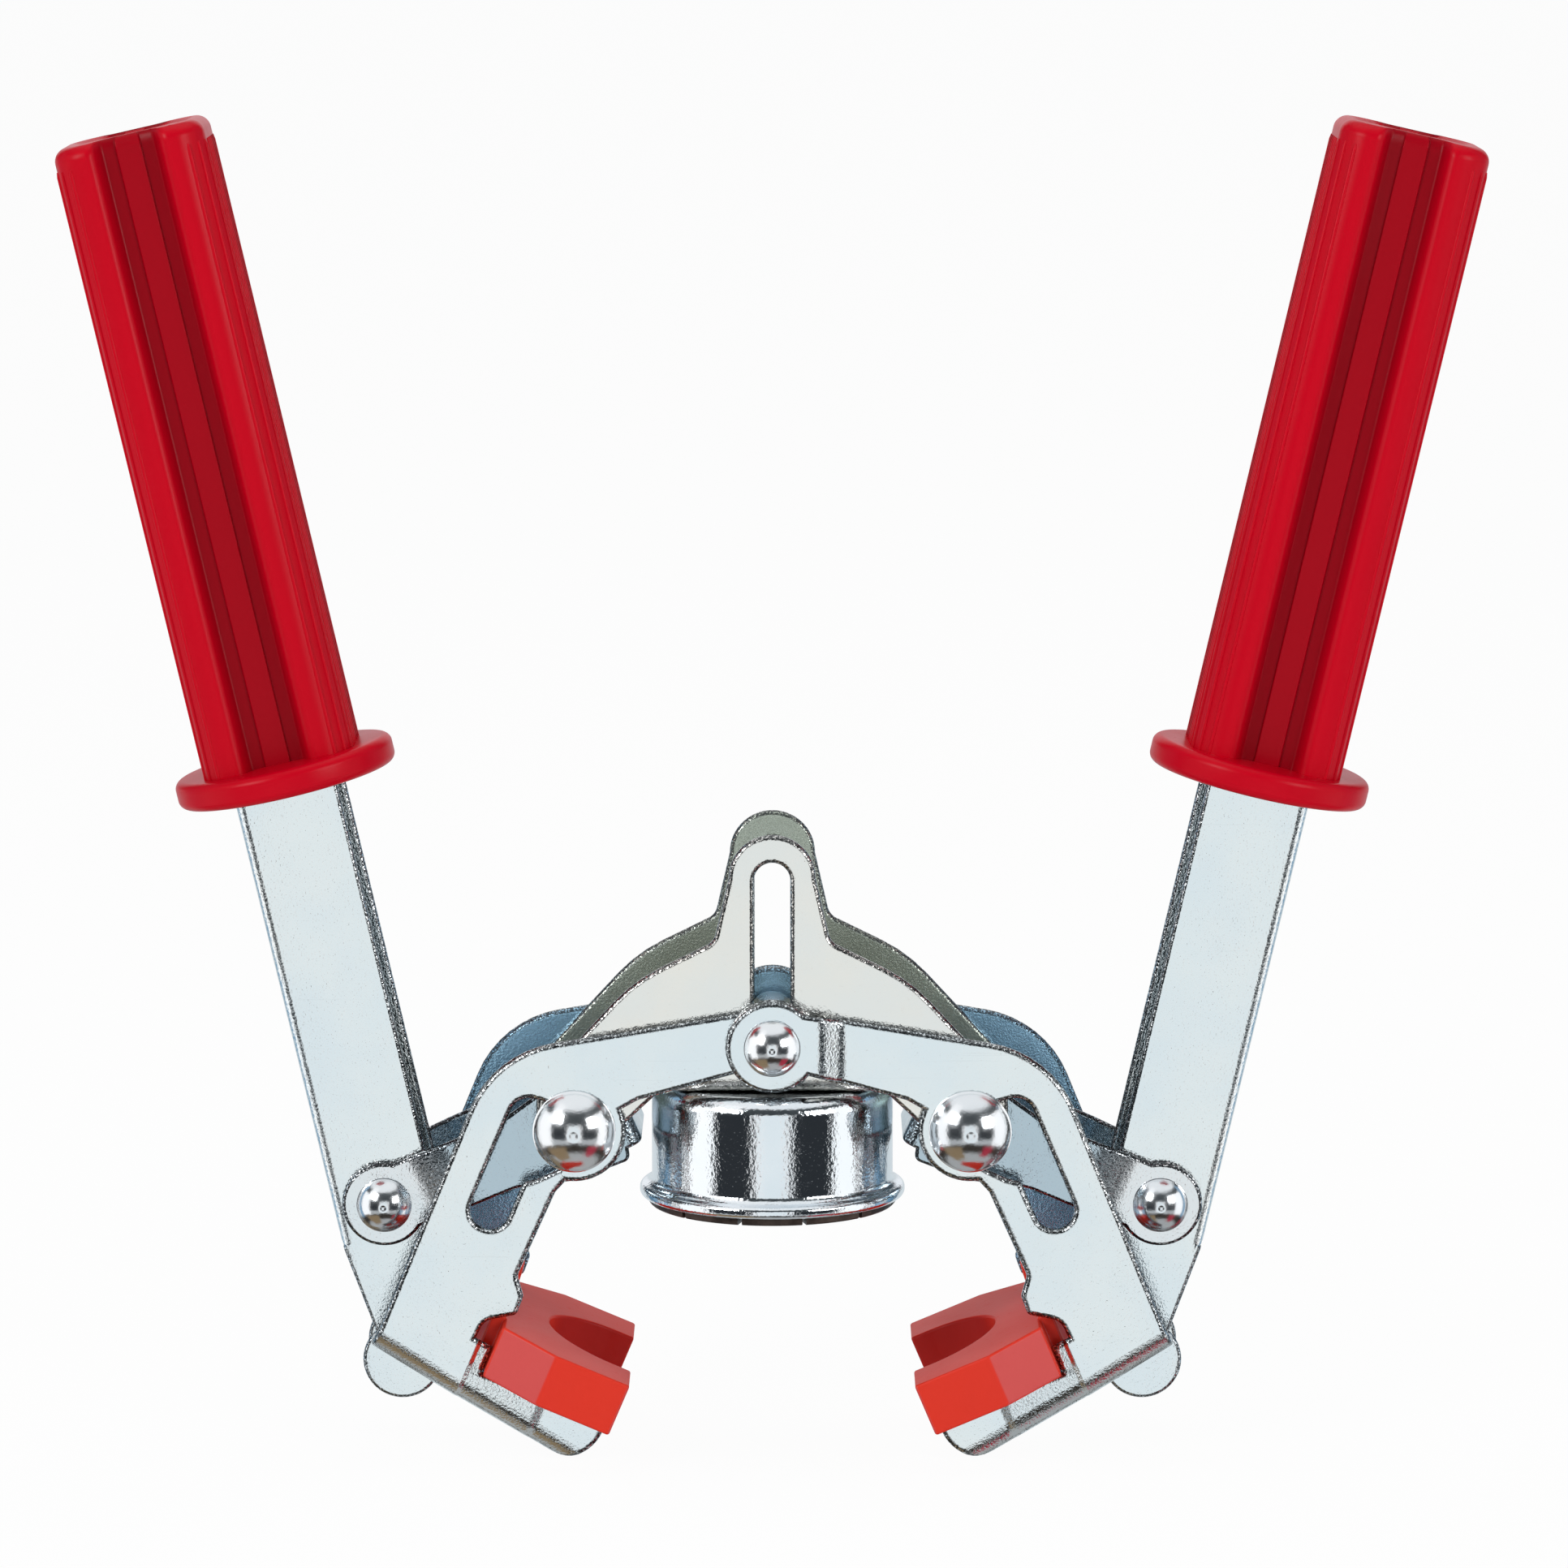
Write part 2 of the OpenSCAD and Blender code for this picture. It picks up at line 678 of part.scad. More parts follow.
// Links
module link_leg_2d() {
    polygon(rounded([
        [-link_tail, leg_half + 0.4, 1],
        [-link_tail, -leg_half - 1.4, 1],
        [-link_tail + 3.5, -leg_half - 3.6, 3],
        [4, -leg_half - 3.2, 8],
        [15, -leg_half, 12],
        [link_l, -leg_half, 0],
        [link_l, leg_half, 0],
        [12, leg_half, 12],
        [-1, leg_half + 3, 6]
    ]));
    translate([link_l, 0]) circle(eye_r);
}
module link_plan() {
    step_end = link_l - step_from_eye;
    step_start = step_end - step_l;
    tip = link_l + eye_r + past;
    tail = -link_tail - past;
    web_in = strip_t - link_tail;
    polygon([
        [tip, -eye_out], [step_end, -eye_out], [step_start, -leg_out], [tail, -leg_out],
        [tail, leg_out], [step_start, leg_out], [step_end, eye_out], [tip, eye_out],
        [tip, eye_in], [step_end, eye_in], [step_start, leg_in], [web_in, leg_in],
        [web_in, -leg_in], [step_start, -leg_in], [step_end, -eye_in], [tip, -eye_in]
    ]);
}
module link_piece() {
    color("lightgray") in_link() difference() {
        intersection() {
            slab(-leg_out, leg_out) link_leg_2d();
            translate([0, 0, -far]) linear_extrude(2 * far) link_plan();
        }
        rotate([90, 0, 0]) cylinder(d = head_rivet_d + 2 * run_gap, h = 2 * far, center = true);
        translate([link_l, 0, 0]) rotate([90, 0, 0])
            cylinder(d = link_rivet_d + 2 * fix_gap, h = 2 * far, center = true);
    }
}
module link_rivet_piece() {
    color("whitesmoke") at_point(link_rivet)
        domed_rivet(link_rivet_d, eye_out, link_dome_d, link_dome_h);
}

// Levers
module lever_flange_2d() {
    half = lever_w / 2;
    difference() {
        union() {
            polygon(rounded([
                [half, lever_reach, 0],
                [half, -5, 8],
                [toe_across + 3.6, toe_along + 6, 0],
                [toe_across, toe_along, 0],
                [toe_across - toe_r, toe_along, 0],
                [-half, -14, 6],
                [-half, lever_reach, 0]
            ]));
            translate([toe_across, toe_along]) circle(toe_r);
        }
        circle(d = link_rivet_d + 2 * run_gap);
    }
}
module lever_piece() {
    color("lightgray") in_lever() {
        front_and_back(lever_half - strip_t, lever_half) lever_flange_2d();
        translate([lever_w / 2 - strip_t, -lever_half, -back_below])
            cube([strip_t, lever_depth, lever_reach + back_below]);
    }
}

// Grips
module grip_section_2d() {
    dx = grip_w / 2 - lobe_r;
    dy = grip_depth / 2 - lobe_r;
    difference() {
        union() {
            for (sx = [-1, 1], sy = [-1, 1]) {
                translate([sx * dx, sy * dy]) circle(lobe_r);
            }
            square([grip_w, 2 * dy], center = true);
            square([2 * dx, grip_depth], center = true);
            for (side = [-1, 1], i = [0 : side_ribs - 1]) {
                translate([side * grip_w / 2, (i - (side_ribs - 1) / 2) * rib_pitch])
                    circle(rib_h, $fn = 16);
            }
        }
        for (side = [-1, 1]) {
            translate([-channel_w / 2, side * grip_depth / 2 - channel_depth])
                square([channel_w, 2 * channel_depth]);
        }
    }
}
module grip_piece() {
    rim = flange_t / 2;
    pocket = [lever_w + 2 * seat_gap, lever_depth + 2 * seat_gap];
    pocket_l = lever_reach + seat_gap - grip_from_rivet;
    color("crimson") in_lever() translate([0, 0, grip_from_rivet]) difference() {
        union() {
            linear_extrude(grip_l) grip_section_2d();
            rotate_extrude() {
                square([flange_d / 2 - rim, flange_t]);
                translate([flange_d / 2 - rim, rim]) circle(rim);
            }
        }
        translate([-pocket[0] / 2, -pocket[1] / 2, -past]) cube([pocket[0], pocket[1], past + pocket_l]);
    }
}

bell_shell();
crimp_collet();
cap_magnet();
bell_rivet();
guide_yoke();
left_side() head_rivet_piece();  // left_head_rivet
head_rivet_piece();  // right_head_rivet
left_side() head_spacer_piece();  // left_head_spacer
head_spacer_piece();  // right_head_spacer
centre_pin();
pin_spacer();
left_side() jaw_piece();  // left_jaw
jaw_piece();  // right_jaw
left_side() insert_piece();  // left_insert
insert_piece();  // right_insert
left_side() link_piece();  // left_link
link_piece();  // right_link
left_side() link_rivet_piece();  // left_link_rivet
link_rivet_piece();  // right_link_rivet
left_side() lever_piece();  // left_lever
lever_piece();  // right_lever
left_side() grip_piece();  // left_grip
grip_piece();  // right_grip
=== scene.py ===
"""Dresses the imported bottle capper: folded sheet parts, plated rivets, moulded grips and a white studio."""

import logging
import math
from dataclasses import dataclass
from enum import Enum
from typing import Any, Callable, Optional, Sequence

import bmesh
import bpy
from mathutils import Matrix, Vector


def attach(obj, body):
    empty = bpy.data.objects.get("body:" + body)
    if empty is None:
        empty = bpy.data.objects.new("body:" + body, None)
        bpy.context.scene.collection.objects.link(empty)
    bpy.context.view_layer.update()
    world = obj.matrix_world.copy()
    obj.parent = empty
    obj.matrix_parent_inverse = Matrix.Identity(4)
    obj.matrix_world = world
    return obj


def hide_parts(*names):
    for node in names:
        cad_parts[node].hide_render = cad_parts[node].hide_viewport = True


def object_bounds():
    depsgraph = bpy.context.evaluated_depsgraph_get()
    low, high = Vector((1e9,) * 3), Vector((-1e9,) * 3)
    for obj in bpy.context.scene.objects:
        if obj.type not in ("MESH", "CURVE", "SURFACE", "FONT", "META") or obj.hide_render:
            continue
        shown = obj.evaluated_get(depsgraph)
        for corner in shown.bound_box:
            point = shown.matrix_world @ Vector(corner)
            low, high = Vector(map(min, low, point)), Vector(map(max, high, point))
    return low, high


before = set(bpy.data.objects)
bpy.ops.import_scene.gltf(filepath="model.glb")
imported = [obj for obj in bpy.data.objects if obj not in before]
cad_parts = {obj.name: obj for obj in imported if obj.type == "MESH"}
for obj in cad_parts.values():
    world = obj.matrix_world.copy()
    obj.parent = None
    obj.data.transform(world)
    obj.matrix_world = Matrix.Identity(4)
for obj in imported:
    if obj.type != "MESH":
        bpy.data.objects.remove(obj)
CAD_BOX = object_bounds()

LOG = logging.getLogger("bottle_capper")
MM = 0.001
SHARP = math.radians(38)

# Faces across a fold, half a finger, a rivet's dome and a grip's rounded end.
FOLD_STEPS = 8
FINGER_STEPS = 4
DOME_STEPS = 20
END_STEPS = 8

# Share of a plate's thickness that counts as its rim, depths of relief in metres, and waves per metre of sheet.
RIM_SHARE = 0.95
PEEL_DEPTH = 0.0004
GRAIN_DEPTH = 0.0003
WAVES = 70.0

# The centre pin's height at rest, the rivets as seen from it, in millimetres, and the levers' lean in degrees.
PIN_Z = 31.45
HEAD_RIVET = (37.3, -16.3)
LINK_RIVET = (73.6, -31.9)
LEVER_TILT = 12.9

BACK = Vector((0, 1, 0))
DOWN = Vector((0, 0, -1))

Point = tuple[float, float]
Corner = tuple[float, float, float]
Colour = tuple[float, float, float]
Loop = list[Point]


class Side(Enum):
    """The two sides of the tool; the left one is the right one turned half round."""

    RIGHT = "right"
    LEFT = "left"

    @property
    def sign(self) -> int:
        """1 on the right and -1 on the left."""
        return 1 if self is Side.RIGHT else -1

    def turn(self) -> Matrix:
        """Matrix that carries a right-hand piece to this side."""
        return Matrix.Rotation(math.pi if self is Side.LEFT else 0.0, 4, "Z")

    def named(self, piece: str) -> str:
        """Name of a piece on this side."""
        return f"{self.value}_{piece}"


def turned(p: Point, degrees: float) -> Point:
    """Turns a flat point about the origin.

    Args:
        p: Point to turn.
        degrees: Angle, anticlockwise.

    Returns:
        The turned point.
    """
    c, s = math.cos(math.radians(degrees)), math.sin(math.radians(degrees))
    return p[0] * c - p[1] * s, p[0] * s + p[1] * c


def added(p: Point, q: Point) -> Point:
    """Sum of two flat points."""
    return p[0] + q[0], p[1] + q[1]


def rounded(corners: Sequence[Corner], step: float = 8.0) -> Loop:
    """Outline whose corners are rounded.

    Args:
        corners: Corners in order, each with its radius.
        step: Largest turn between two points of an arc, in degrees.

    Returns:
        The closed outline's points.
    """
    loop: Loop = []
    count = len(corners)
    for i, (x, z, r) in enumerate(corners):
        here = Vector((x, z))
        if r <= 0:
            loop.append((x, z))
            continue
        u = (Vector(corners[i - 1][:2]) - here).normalized()
        v = (Vector(corners[(i + 1) % count][:2]) - here).normalized()
        half = math.acos(max(-1.0, min(1.0, u.dot(v)))) / 2
        centre = here + (u + v).normalized() * (r / math.sin(half))
        reach = r / math.tan(half)
        start, end = here + u * reach - centre, here + v * reach - centre
        a0 = math.atan2(start.y, start.x)
        sweep = (math.atan2(end.y, end.x) - a0 + math.pi) % (2 * math.pi) - math.pi
        parts = max(3, math.ceil(abs(math.degrees(sweep)) / step))
        for k in range(parts + 1):
            a = a0 + sweep * k / parts
            loop.append((centre.x + r * math.cos(a), centre.y + r * math.sin(a)))
    return loop


def circle(centre: Point, radius: float, count: int = 40) -> Loop:
    """Closed circle as points."""
    angles = [2 * math.pi * k / count for k in range(count)]
    return [added(centre, (radius * math.cos(a), radius * math.sin(a))) for a in angles]


def arc_points(centre: Point, radius: float, start: float, end: float, count: int) -> Loop:
    """Points of an arc from one angle to another, in degrees."""
    angles = [start + (end - start) * k / count for k in range(count + 1)]
    return [added(centre, turned((radius, 0.0), a)) for a in angles]


def around(places: Sequence[float], soft: float, count: int) -> list[float]:
    """Marks from a soft length before each place to one after it, with a count of steps on each side."""
    return [at + soft * k / count for at in places for k in range(-count, count + 1)]


def opposite(web: float) -> Callable[[Sequence[float]], tuple[float, ...]]:
    """Function that carries a place on a blank's front half to its back half, past the web between them."""
    return lambda p: (p[0], -web - p[1], *p[2:])


def from_pin(p: Point, lean: float = 0.0) -> Matrix:
    """Place at a point from the centre pin, turned about Y by an angle in degrees."""
    return Matrix.Translation((p[0], 0, PIN_Z + p[1])) @ Matrix.Rotation(math.radians(lean), 4, "Y")


def with_lug(loop: Loop, centre: Point, radius: float, step: float = 6.0) -> Loop:
    """Joins a round lug to an outline that it crosses twice.

    Args:
        loop: The closed outline.
        centre: The lug's centre.
        radius: The lug's radius.
        step: Largest turn between two points of the lug, in degrees.

    Returns:
        The outline round both, anticlockwise.
    """
    area = sum(a[0] * b[1] - b[0] * a[1] for a, b in zip(loop, loop[1:] + loop[:1]))
    pts = [Vector(p) for p in (loop if area > 0 else loop[::-1])]
    c = Vector(centre)
    walk: list[tuple[Vector, bool]] = []
    for a, b in zip(pts, pts[1:] + pts[:1]):
        walk.append((a, False))
        d, f = b - a, a - c
        square = d.dot(d)
        root = f.dot(d) ** 2 - square * (f.dot(f) - radius * radius)
        if square > 0 and root > 0:
            for s in ((-f.dot(d) - math.sqrt(root)) / square, (-f.dot(d) + math.sqrt(root)) / square):
                if 0 < s < 1:
                    walk.append((a + d * s, True))
    crossings = [i for i, (_, cross) in enumerate(walk) if cross]
    leaving = next(i for i in crossings if (walk[(i + 1) % len(walk)][0] - c).length > radius)
    walk = walk[leaving:] + walk[:leaving]
    entering = next(i for i, (_, cross) in enumerate(walk) if cross and i > 0)
    outside = [p for p, _ in walk[: entering + 1]]
    a0 = math.atan2(*(outside[-1] - c).yx)
    a1 = math.atan2(*(outside[0] - c).yx)
    a1 += 2 * math.pi if a1 <= a0 else 0.0
    parts = max(3, math.ceil(math.degrees(a1 - a0) / step))
    angles = [a0 + (a1 - a0) * k / parts for k in range(1, parts)]
    arc = [c + radius * Vector((math.cos(a), math.sin(a))) for a in angles]
    return [(p.x, p.y) for p in outside + arc]


def eased(value: float, low: float, high: float, soft: float) -> float:
    """Ramp from 0 at low to 1 at high with softened ends.

    Args:
        value: Where the ramp is read.
        low: Start of the ramp.
        high: End of the ramp.
        soft: Length over which each end is rounded.

    Returns:
        The ramp's height, from 0 to 1.
    """

    def knee(x: float) -> float:
        """Rounded corner of a ramp that starts at 0."""
        if x <= -soft:
            return 0.0
        return x if x >= soft else (x + soft) ** 2 / (4 * soft)

    return (knee(value - low) - knee(value - high)) / (high - low)


def mesh_of(name: str, bm: bmesh.types.BMesh) -> bpy.types.Mesh:
    """Smooth mesh of a working mesh.

    Args:
        name: Name of the mesh.
        bm: The working mesh, which is freed.

    Returns:
        The mesh, in the working mesh's unit.
    """
    for face in bm.faces:
        face.smooth = True
    mesh = bpy.data.meshes.new(name)
    bm.to_mesh(mesh)
    bm.free()
    return mesh


def finished_mesh(name: str, bm: bmesh.types.BMesh, place: Matrix) -> bpy.types.Mesh:
    """Mesh from a working mesh in millimetres.

    Args:
        name: Name of the mesh.
        bm: The working mesh, which is freed.
        place: Its place in the tool's frame, in millimetres.

    Returns:
        The mesh, in metres, smooth between its sharp edges.
    """
    bmesh.ops.transform(bm, matrix=Matrix.Scale(MM, 4) @ place, verts=bm.verts)
    mesh = mesh_of(name, bm)
    mesh.set_sharp_from_angle(angle=SHARP)
    return mesh


def shown(name: str, data: bpy.types.ID) -> bpy.types.Object:
    """Object of a mesh, curve, lamp or camera, linked to the scene."""
    obj = bpy.data.objects.new(name, data)
    bpy.context.scene.collection.objects.link(obj)
    return obj


def baked(obj: bpy.types.Object) -> bpy.types.Mesh:
    """Plain mesh of an object as its curve or its modifiers shape it."""
    return bpy.data.meshes.new_from_object(obj.evaluated_get(bpy.context.evaluated_depsgraph_get()))


def aimed(obj: bpy.types.Object, at: Vector, way: Vector) -> None:
    """Sets a lamp or the camera at a place, looking along a direction."""
    obj.location = at
    obj.rotation_mode = "QUATERNION"
    obj.rotation_quaternion = way.to_track_quat("-Z", "Y")


def level_normals(obj: bpy.types.Object) -> None:
    """Keeps large flat faces flat beside their rounded edges."""
    level = obj.modifiers.new("level", "WEIGHTED_NORMAL")
    level.keep_sharp = True
    level.weight = 80


def plate(
    outline: Loop, holes: Sequence[Loop], thickness: float, edge: float, half_depth: float
) -> bmesh.types.BMesh:
    """Upright plate whose edges roll over, as a punched sheet's do, with 1 painted on them as "rim".

    Args:
        outline: Its outline in X and Z.
        holes: Its holes.
        thickness: Its thickness.
        edge: Width of the roll along its edges.
        half_depth: How far its middle plane lies in front of Y = 0.

    Returns:
        A closed working mesh.
    """
    curve = bpy.data.curves.new("blank", "CURVE")
    curve.dimensions = "2D"
    curve.fill_mode = "BOTH"
    curve.bevel_depth = edge
    curve.bevel_resolution = 3
    curve.offset = -edge
    for loop in [outline, *holes]:
        spline = curve.splines.new("POLY")
        spline.points.add(len(loop) - 1)
        for point, (x, z) in zip(spline.points, loop):
            point.co = (x, z, 0, 1)
        spline.use_cyclic_u = True
    obj = shown("blank", curve)
    mesh = baked(obj)
    bpy.data.objects.remove(obj)
    bpy.data.curves.remove(curve)
    bm = bmesh.new()
    bm.from_mesh(mesh)
    bpy.data.meshes.remove(mesh)
    bmesh.ops.remove_doubles(bm, verts=bm.verts, dist=0.004)
    flatten = Matrix.Scale(thickness / 2 / edge, 4, Vector((0, 0, 1)))
    bmesh.ops.transform(bm, matrix=Matrix.Rotation(math.pi / 2, 4, "X") @ flatten, verts=bm.verts)
    bmesh.ops.recalc_face_normals(bm, faces=bm.faces)
    rim = bm.verts.layers.float.new("rim")
    for vert in bm.verts:
        vert[rim] = float(abs(vert.co.y) < RIM_SHARE * thickness / 2)
    bmesh.ops.translate(bm, vec=-BACK * half_depth, verts=bm.verts)
    return bm


def scored(bm: bmesh.types.BMesh, at: Vector, out: Vector, marks: Sequence[float]) -> None:
    """Cuts edges across a working mesh, so that it can bend there.

    Args:
        bm: The working mesh.
        at: Point that the marks are measured from.
        out: Direction in which they are measured.
        marks: Distances of the cuts.
    """
    for mark in marks:
        geometry = [*bm.verts, *bm.edges, *bm.faces]
        bmesh.ops.bisect_plane(bm, geom=geometry, plane_co=at + out * mark, plane_no=out, dist=0.001)


def folded(
    bm: bmesh.types.BMesh,
    at: Vector,
    out: Vector,
    up: Vector,
    radius: float,
    where: Callable[[Vector], bool] = lambda p: True,
    stiff: Optional[Point] = None,
) -> None:
    """Folds what lies past a line by a right angle.

    Args:
        bm: The working mesh of the sheet.
        at: Point of the fold line, in the sheet's middle plane.
        out: Direction in the sheet past the line.
        up: Side to which it folds.
        radius: Radius of the middle plane in the fold.
        where: Test that leaves points out.
        stiff: X below which the sheet has no bend, and how far past the line its folded part begins there.
    """
    length = radius * math.pi / 2
    scored(bm, at, out, [length * k / FOLD_STEPS for k in range(FOLD_STEPS + 1)])
    for vert in bm.verts:
        offset = vert.co - at
        past = offset.dot(out)
        flat_end = stiff is not None and vert.co.x < stiff[0]
        if not where(vert.co) or past <= (stiff[1] if flat_end else 1e-6):
            continue
        height = offset.dot(up)
        along = offset - out * past - up * height
        a = math.pi / 2 if flat_end else min(past / radius, math.pi / 2)
        extra = past - length if flat_end else max(0.0, past - length)
        r = radius - height
        vert.co = (
            at + along
            + out * (r * math.sin(a) + extra * math.cos(a))
            + up * (radius - r * math.cos(a) + extra * math.sin(a))
        )


def channelled(
    bm: bmesh.types.BMesh,
    half_depth: float,
    radius: float,
    front: Optional[Point] = None,
    back: Optional[Point] = None,
) -> None:
    """Folds a blank under and up again, so that its two halves face each other across Y = 0.

    Args:
        bm: The working mesh of the blank, upright, with its first fold at Z = 0.
        half_depth: Distance of each half's middle plane from Y = 0.
        radius: Radius of the middle plane in the folds.
        front: What stays stiff at the first fold.
        back: What stays stiff at the second fold.
    """
    folded(bm, -BACK * half_depth, DOWN, BACK, radius, stiff=front)
    folded(bm, BACK * (half_depth - radius) + DOWN * radius, BACK, -DOWN, radius, stiff=back)


def skinned(bm: bmesh.types.BMesh, rings: Sequence[Sequence[bmesh.types.BMVert]]) -> None:
    """Joins a row of rings by faces and closes both ends.

    Args:
        bm: The working mesh.
        rings: Rings of equally many points, in order.
    """
    for one, two in zip(rings, rings[1:]):
        for i in range(len(one)):
            j = (i + 1) % len(one)
            bm.faces.new((one[i], one[j], two[j], two[i]))
    bm.faces.new(rings[-1])
    bm.faces.new(rings[0][::-1])
    bmesh.ops.recalc_face_normals(bm, faces=bm.faces)


def lathed(profile: Sequence[Point], steps: int = 96) -> bmesh.types.BMesh:
    """Turned shape about Z.

    Args:
        profile: Radius and height of each point, from one end to the other.
        steps: Faces round the axis.

    Returns:
        The working mesh, closed where the profile meets the axis or itself.
    """
    bm = bmesh.new()
    verts = [bm.verts.new((r, 0.0, z)) for r, z in profile]
    edges = [bm.edges.new(pair) for pair in zip(verts, verts[1:])]
    bmesh.ops.spin(
        bm, geom=verts + edges, cent=(0, 0, 0), axis=(0, 0, 1), angle=2 * math.pi, steps=steps, use_merge=True
    )
    bmesh.ops.remove_doubles(bm, verts=bm.verts, dist=0.0005)
    bmesh.ops.recalc_face_normals(bm, faces=bm.faces)
    return bm


class Value:
    """A socket of a node tree that takes part in sums."""

    def __init__(self, bench: "Bench", socket: Any) -> None:
        """Wraps one output socket."""
        self.bench = bench
        self.socket = socket

    def __add__(self, other: Any) -> "Value":
        """Sum."""
        return self.bench.reckon("ADD", self, other)

    def __sub__(self, other: Any) -> "Value":
        """Difference."""
        return self.bench.reckon("SUBTRACT", self, other)

    def __rsub__(self, other: Any) -> "Value":
        """Difference, reflected."""
        return self.bench.reckon("SUBTRACT", other, self)

    def __mul__(self, other: Any) -> "Value":
        """Product."""
        return self.bench.reckon("MULTIPLY", self, other)

    def __abs__(self) -> "Value":
        """Value without its sign."""
        return self.bench.reckon("ABSOLUTE", self)

    __radd__, __rmul__ = __add__, __mul__


@dataclass(frozen=True)
class Mark:
    """Noise, in grains per metre, that is cut to a mask between two of its levels."""

    scale: float
    detail: float
    low: float
    high: float
    rough: float = 0.55
    stretch: tuple[float, float, float] = (1.0, 1.0, 1.0)
    tilt: float = 0.0


CLOUD = Mark(38.0, 4.0, low=0.36, high=0.66)
PATCH = Mark(140.0, 3.0, low=0.45, high=0.72)
SPECK = Mark(2600.0, 2.0, low=0.66, high=0.74)
HAIR = Mark(160.0, 5.0, low=0.63, high=0.7, rough=0.7, stretch=(0.14, 6.0, 9.0), tilt=0.7)
# Speckle of edge wear and of painted dark reflection on rims and bends.
WEAR_AND_DARK_REFLECTION = Mark(2600.0, 2.0, low=0.64, high=0.48)
FLOW = Mark(26.0, 4.0, low=0.35, high=0.7, rough=0.6, stretch=(1.0, 1.0, 0.35))
DUST = Mark(900.0, 3.0, low=0.62, high=0.75)
MOTTLE = Mark(320.0, 4.0, low=0.35, high=0.7)


class Bench:
    """A node tree on which a material or the world is wired up."""

    def __init__(self, tree: bpy.types.NodeTree) -> None:
        """Starts from an empty tree."""
        self.tree = tree
        tree.nodes.clear()

    def node(self, kind: str, settings: dict[str, Any], inputs: dict[Any, Any], out: Any = 0) -> Value:
        """Adds any node.

        Args:
            kind: The node's type.
            settings: Its settings, set first.
            inputs: Values or links of its sockets, by name or number.
            out: Which output is wanted.

        Returns:
            That output.
        """
        made = self.tree.nodes.new(kind)
        for key, value in settings.items():
            setattr(made, key, value)
        for key, value in inputs.items():
            if isinstance(value, Value):
                self.tree.links.new(value.socket, made.inputs[key])
            else:
                made.inputs[key].default_value = value
        return Value(self, made.outputs[out]) if made.outputs else Value(self, made)

    def reckon(self, operation: str, *terms: Any) -> Value:
        """Math node of one operation."""
        return self.node("ShaderNodeMath", {"operation": operation}, dict(enumerate(terms)))

    def part(self, vector: Value, axis: int) -> Value:
        """One component of a vector."""
        return self.node("ShaderNodeSeparateXYZ", {}, {"Vector": vector}, axis)

    def facing(self, axis: int) -> Value:
        """One component of the surface's normal."""
        return self.part(self.node("ShaderNodeNewGeometry", {}, {}, "Normal"), axis)

    def painted(self, name: str) -> Value:
        """A number painted on the mesh's points."""
        return self.node("ShaderNodeAttribute", {"attribute_name": name}, {}, "Fac")

    def place(self, scale: Sequence[float] = (1.0, 1.0, 1.0), tilt: float = 0.0) -> Value:
        """Object coordinates, scaled and turned about Y."""
        coords = self.node("ShaderNodeTexCoord", {}, {}, "Object")
        inputs = {"Vector": coords, "Rotation": (0.0, tilt, 0.0), "Scale": tuple(scale)}
        return self.node("ShaderNodeMapping", {}, inputs)

    def noise(self, scale: float, detail: float, rough: float = 0.55, at: Optional[Value] = None) -> Value:
        """Noise of a given number of grains per metre."""
        inputs = {"Vector": at or self.place(), "Scale": scale, "Detail": detail, "Roughness": rough}
        return self.node("ShaderNodeTexNoise", {}, inputs, "Fac")

    def ramp(self, factor: Value, low: float, high: float) -> Value:
        """Smooth step of a value from 0 at low to 1 at high."""
        inputs = {"Value": factor, "From Min": low, "From Max": high}
        return self.node("ShaderNodeMapRange", {"interpolation_type": "SMOOTHSTEP"}, inputs)

    def mask(self, mark: Mark) -> Value:
        """Mask of one kind of mark."""
        at = self.place(mark.stretch, mark.tilt)
        return self.ramp(self.noise(mark.scale, mark.detail, mark.rough, at), mark.low, mark.high)

    def blend(self, factor: Any, first: Any, second: Any) -> Value:
        """Mix of two colours.

        Args:
            factor: Share of the second.
            first: A colour or a link.
            second: A colour or a link.

        Returns:
            The mixed colour.
        """
        one, two = (c if isinstance(c, Value) else (*c, 1.0) for c in (first, second))
        return self.node("ShaderNodeMix", {"data_type": "RGBA"}, {0: factor, 6: one, 7: two}, 2)

    def bump(self, height: Value, strength: float, depth: float) -> Value:
        """Normal from a height."""
        return self.node("ShaderNodeBump", {}, {"Strength": strength, "Distance": depth, "Height": height}, "Normal")

    def surface(self, inputs: dict[str, Any]) -> None:
        """Principled surface that ends the tree."""
        shader = self.node("ShaderNodeBsdfPrincipled", {}, inputs)
        self.node("ShaderNodeOutputMaterial", {}, {"Surface": shader})


@dataclass(frozen=True)
class Finish:
    """A finish of the tool, with the record's slot that it stands for."""

    name: str
    slot: str
    colour: Colour
    shade: Colour
    rough: float

    def wire(self, bench: Bench) -> None:
        """Wires the finish's nodes; each kind of finish has its own."""
        raise NotImplementedError

    def inner_shade_mask(self, bench: Bench, near: float, far: float) -> Value:
        """1 on faces that look forward from behind a depth, which lie inside the tool, where shade is painted."""
        depth = bench.ramp(bench.part(bench.place(), 1), near, far)
        return depth * bench.ramp(bench.facing(1), -0.2, -0.7)

    def material(self) -> bpy.types.Material:
        """The finish's material, made once."""
        if self.name in bpy.data.materials:
            return bpy.data.materials[self.name]
        made = bpy.data.materials.new(self.name)
        made.use_nodes = True
        self.wire(Bench(made.node_tree))
        return made


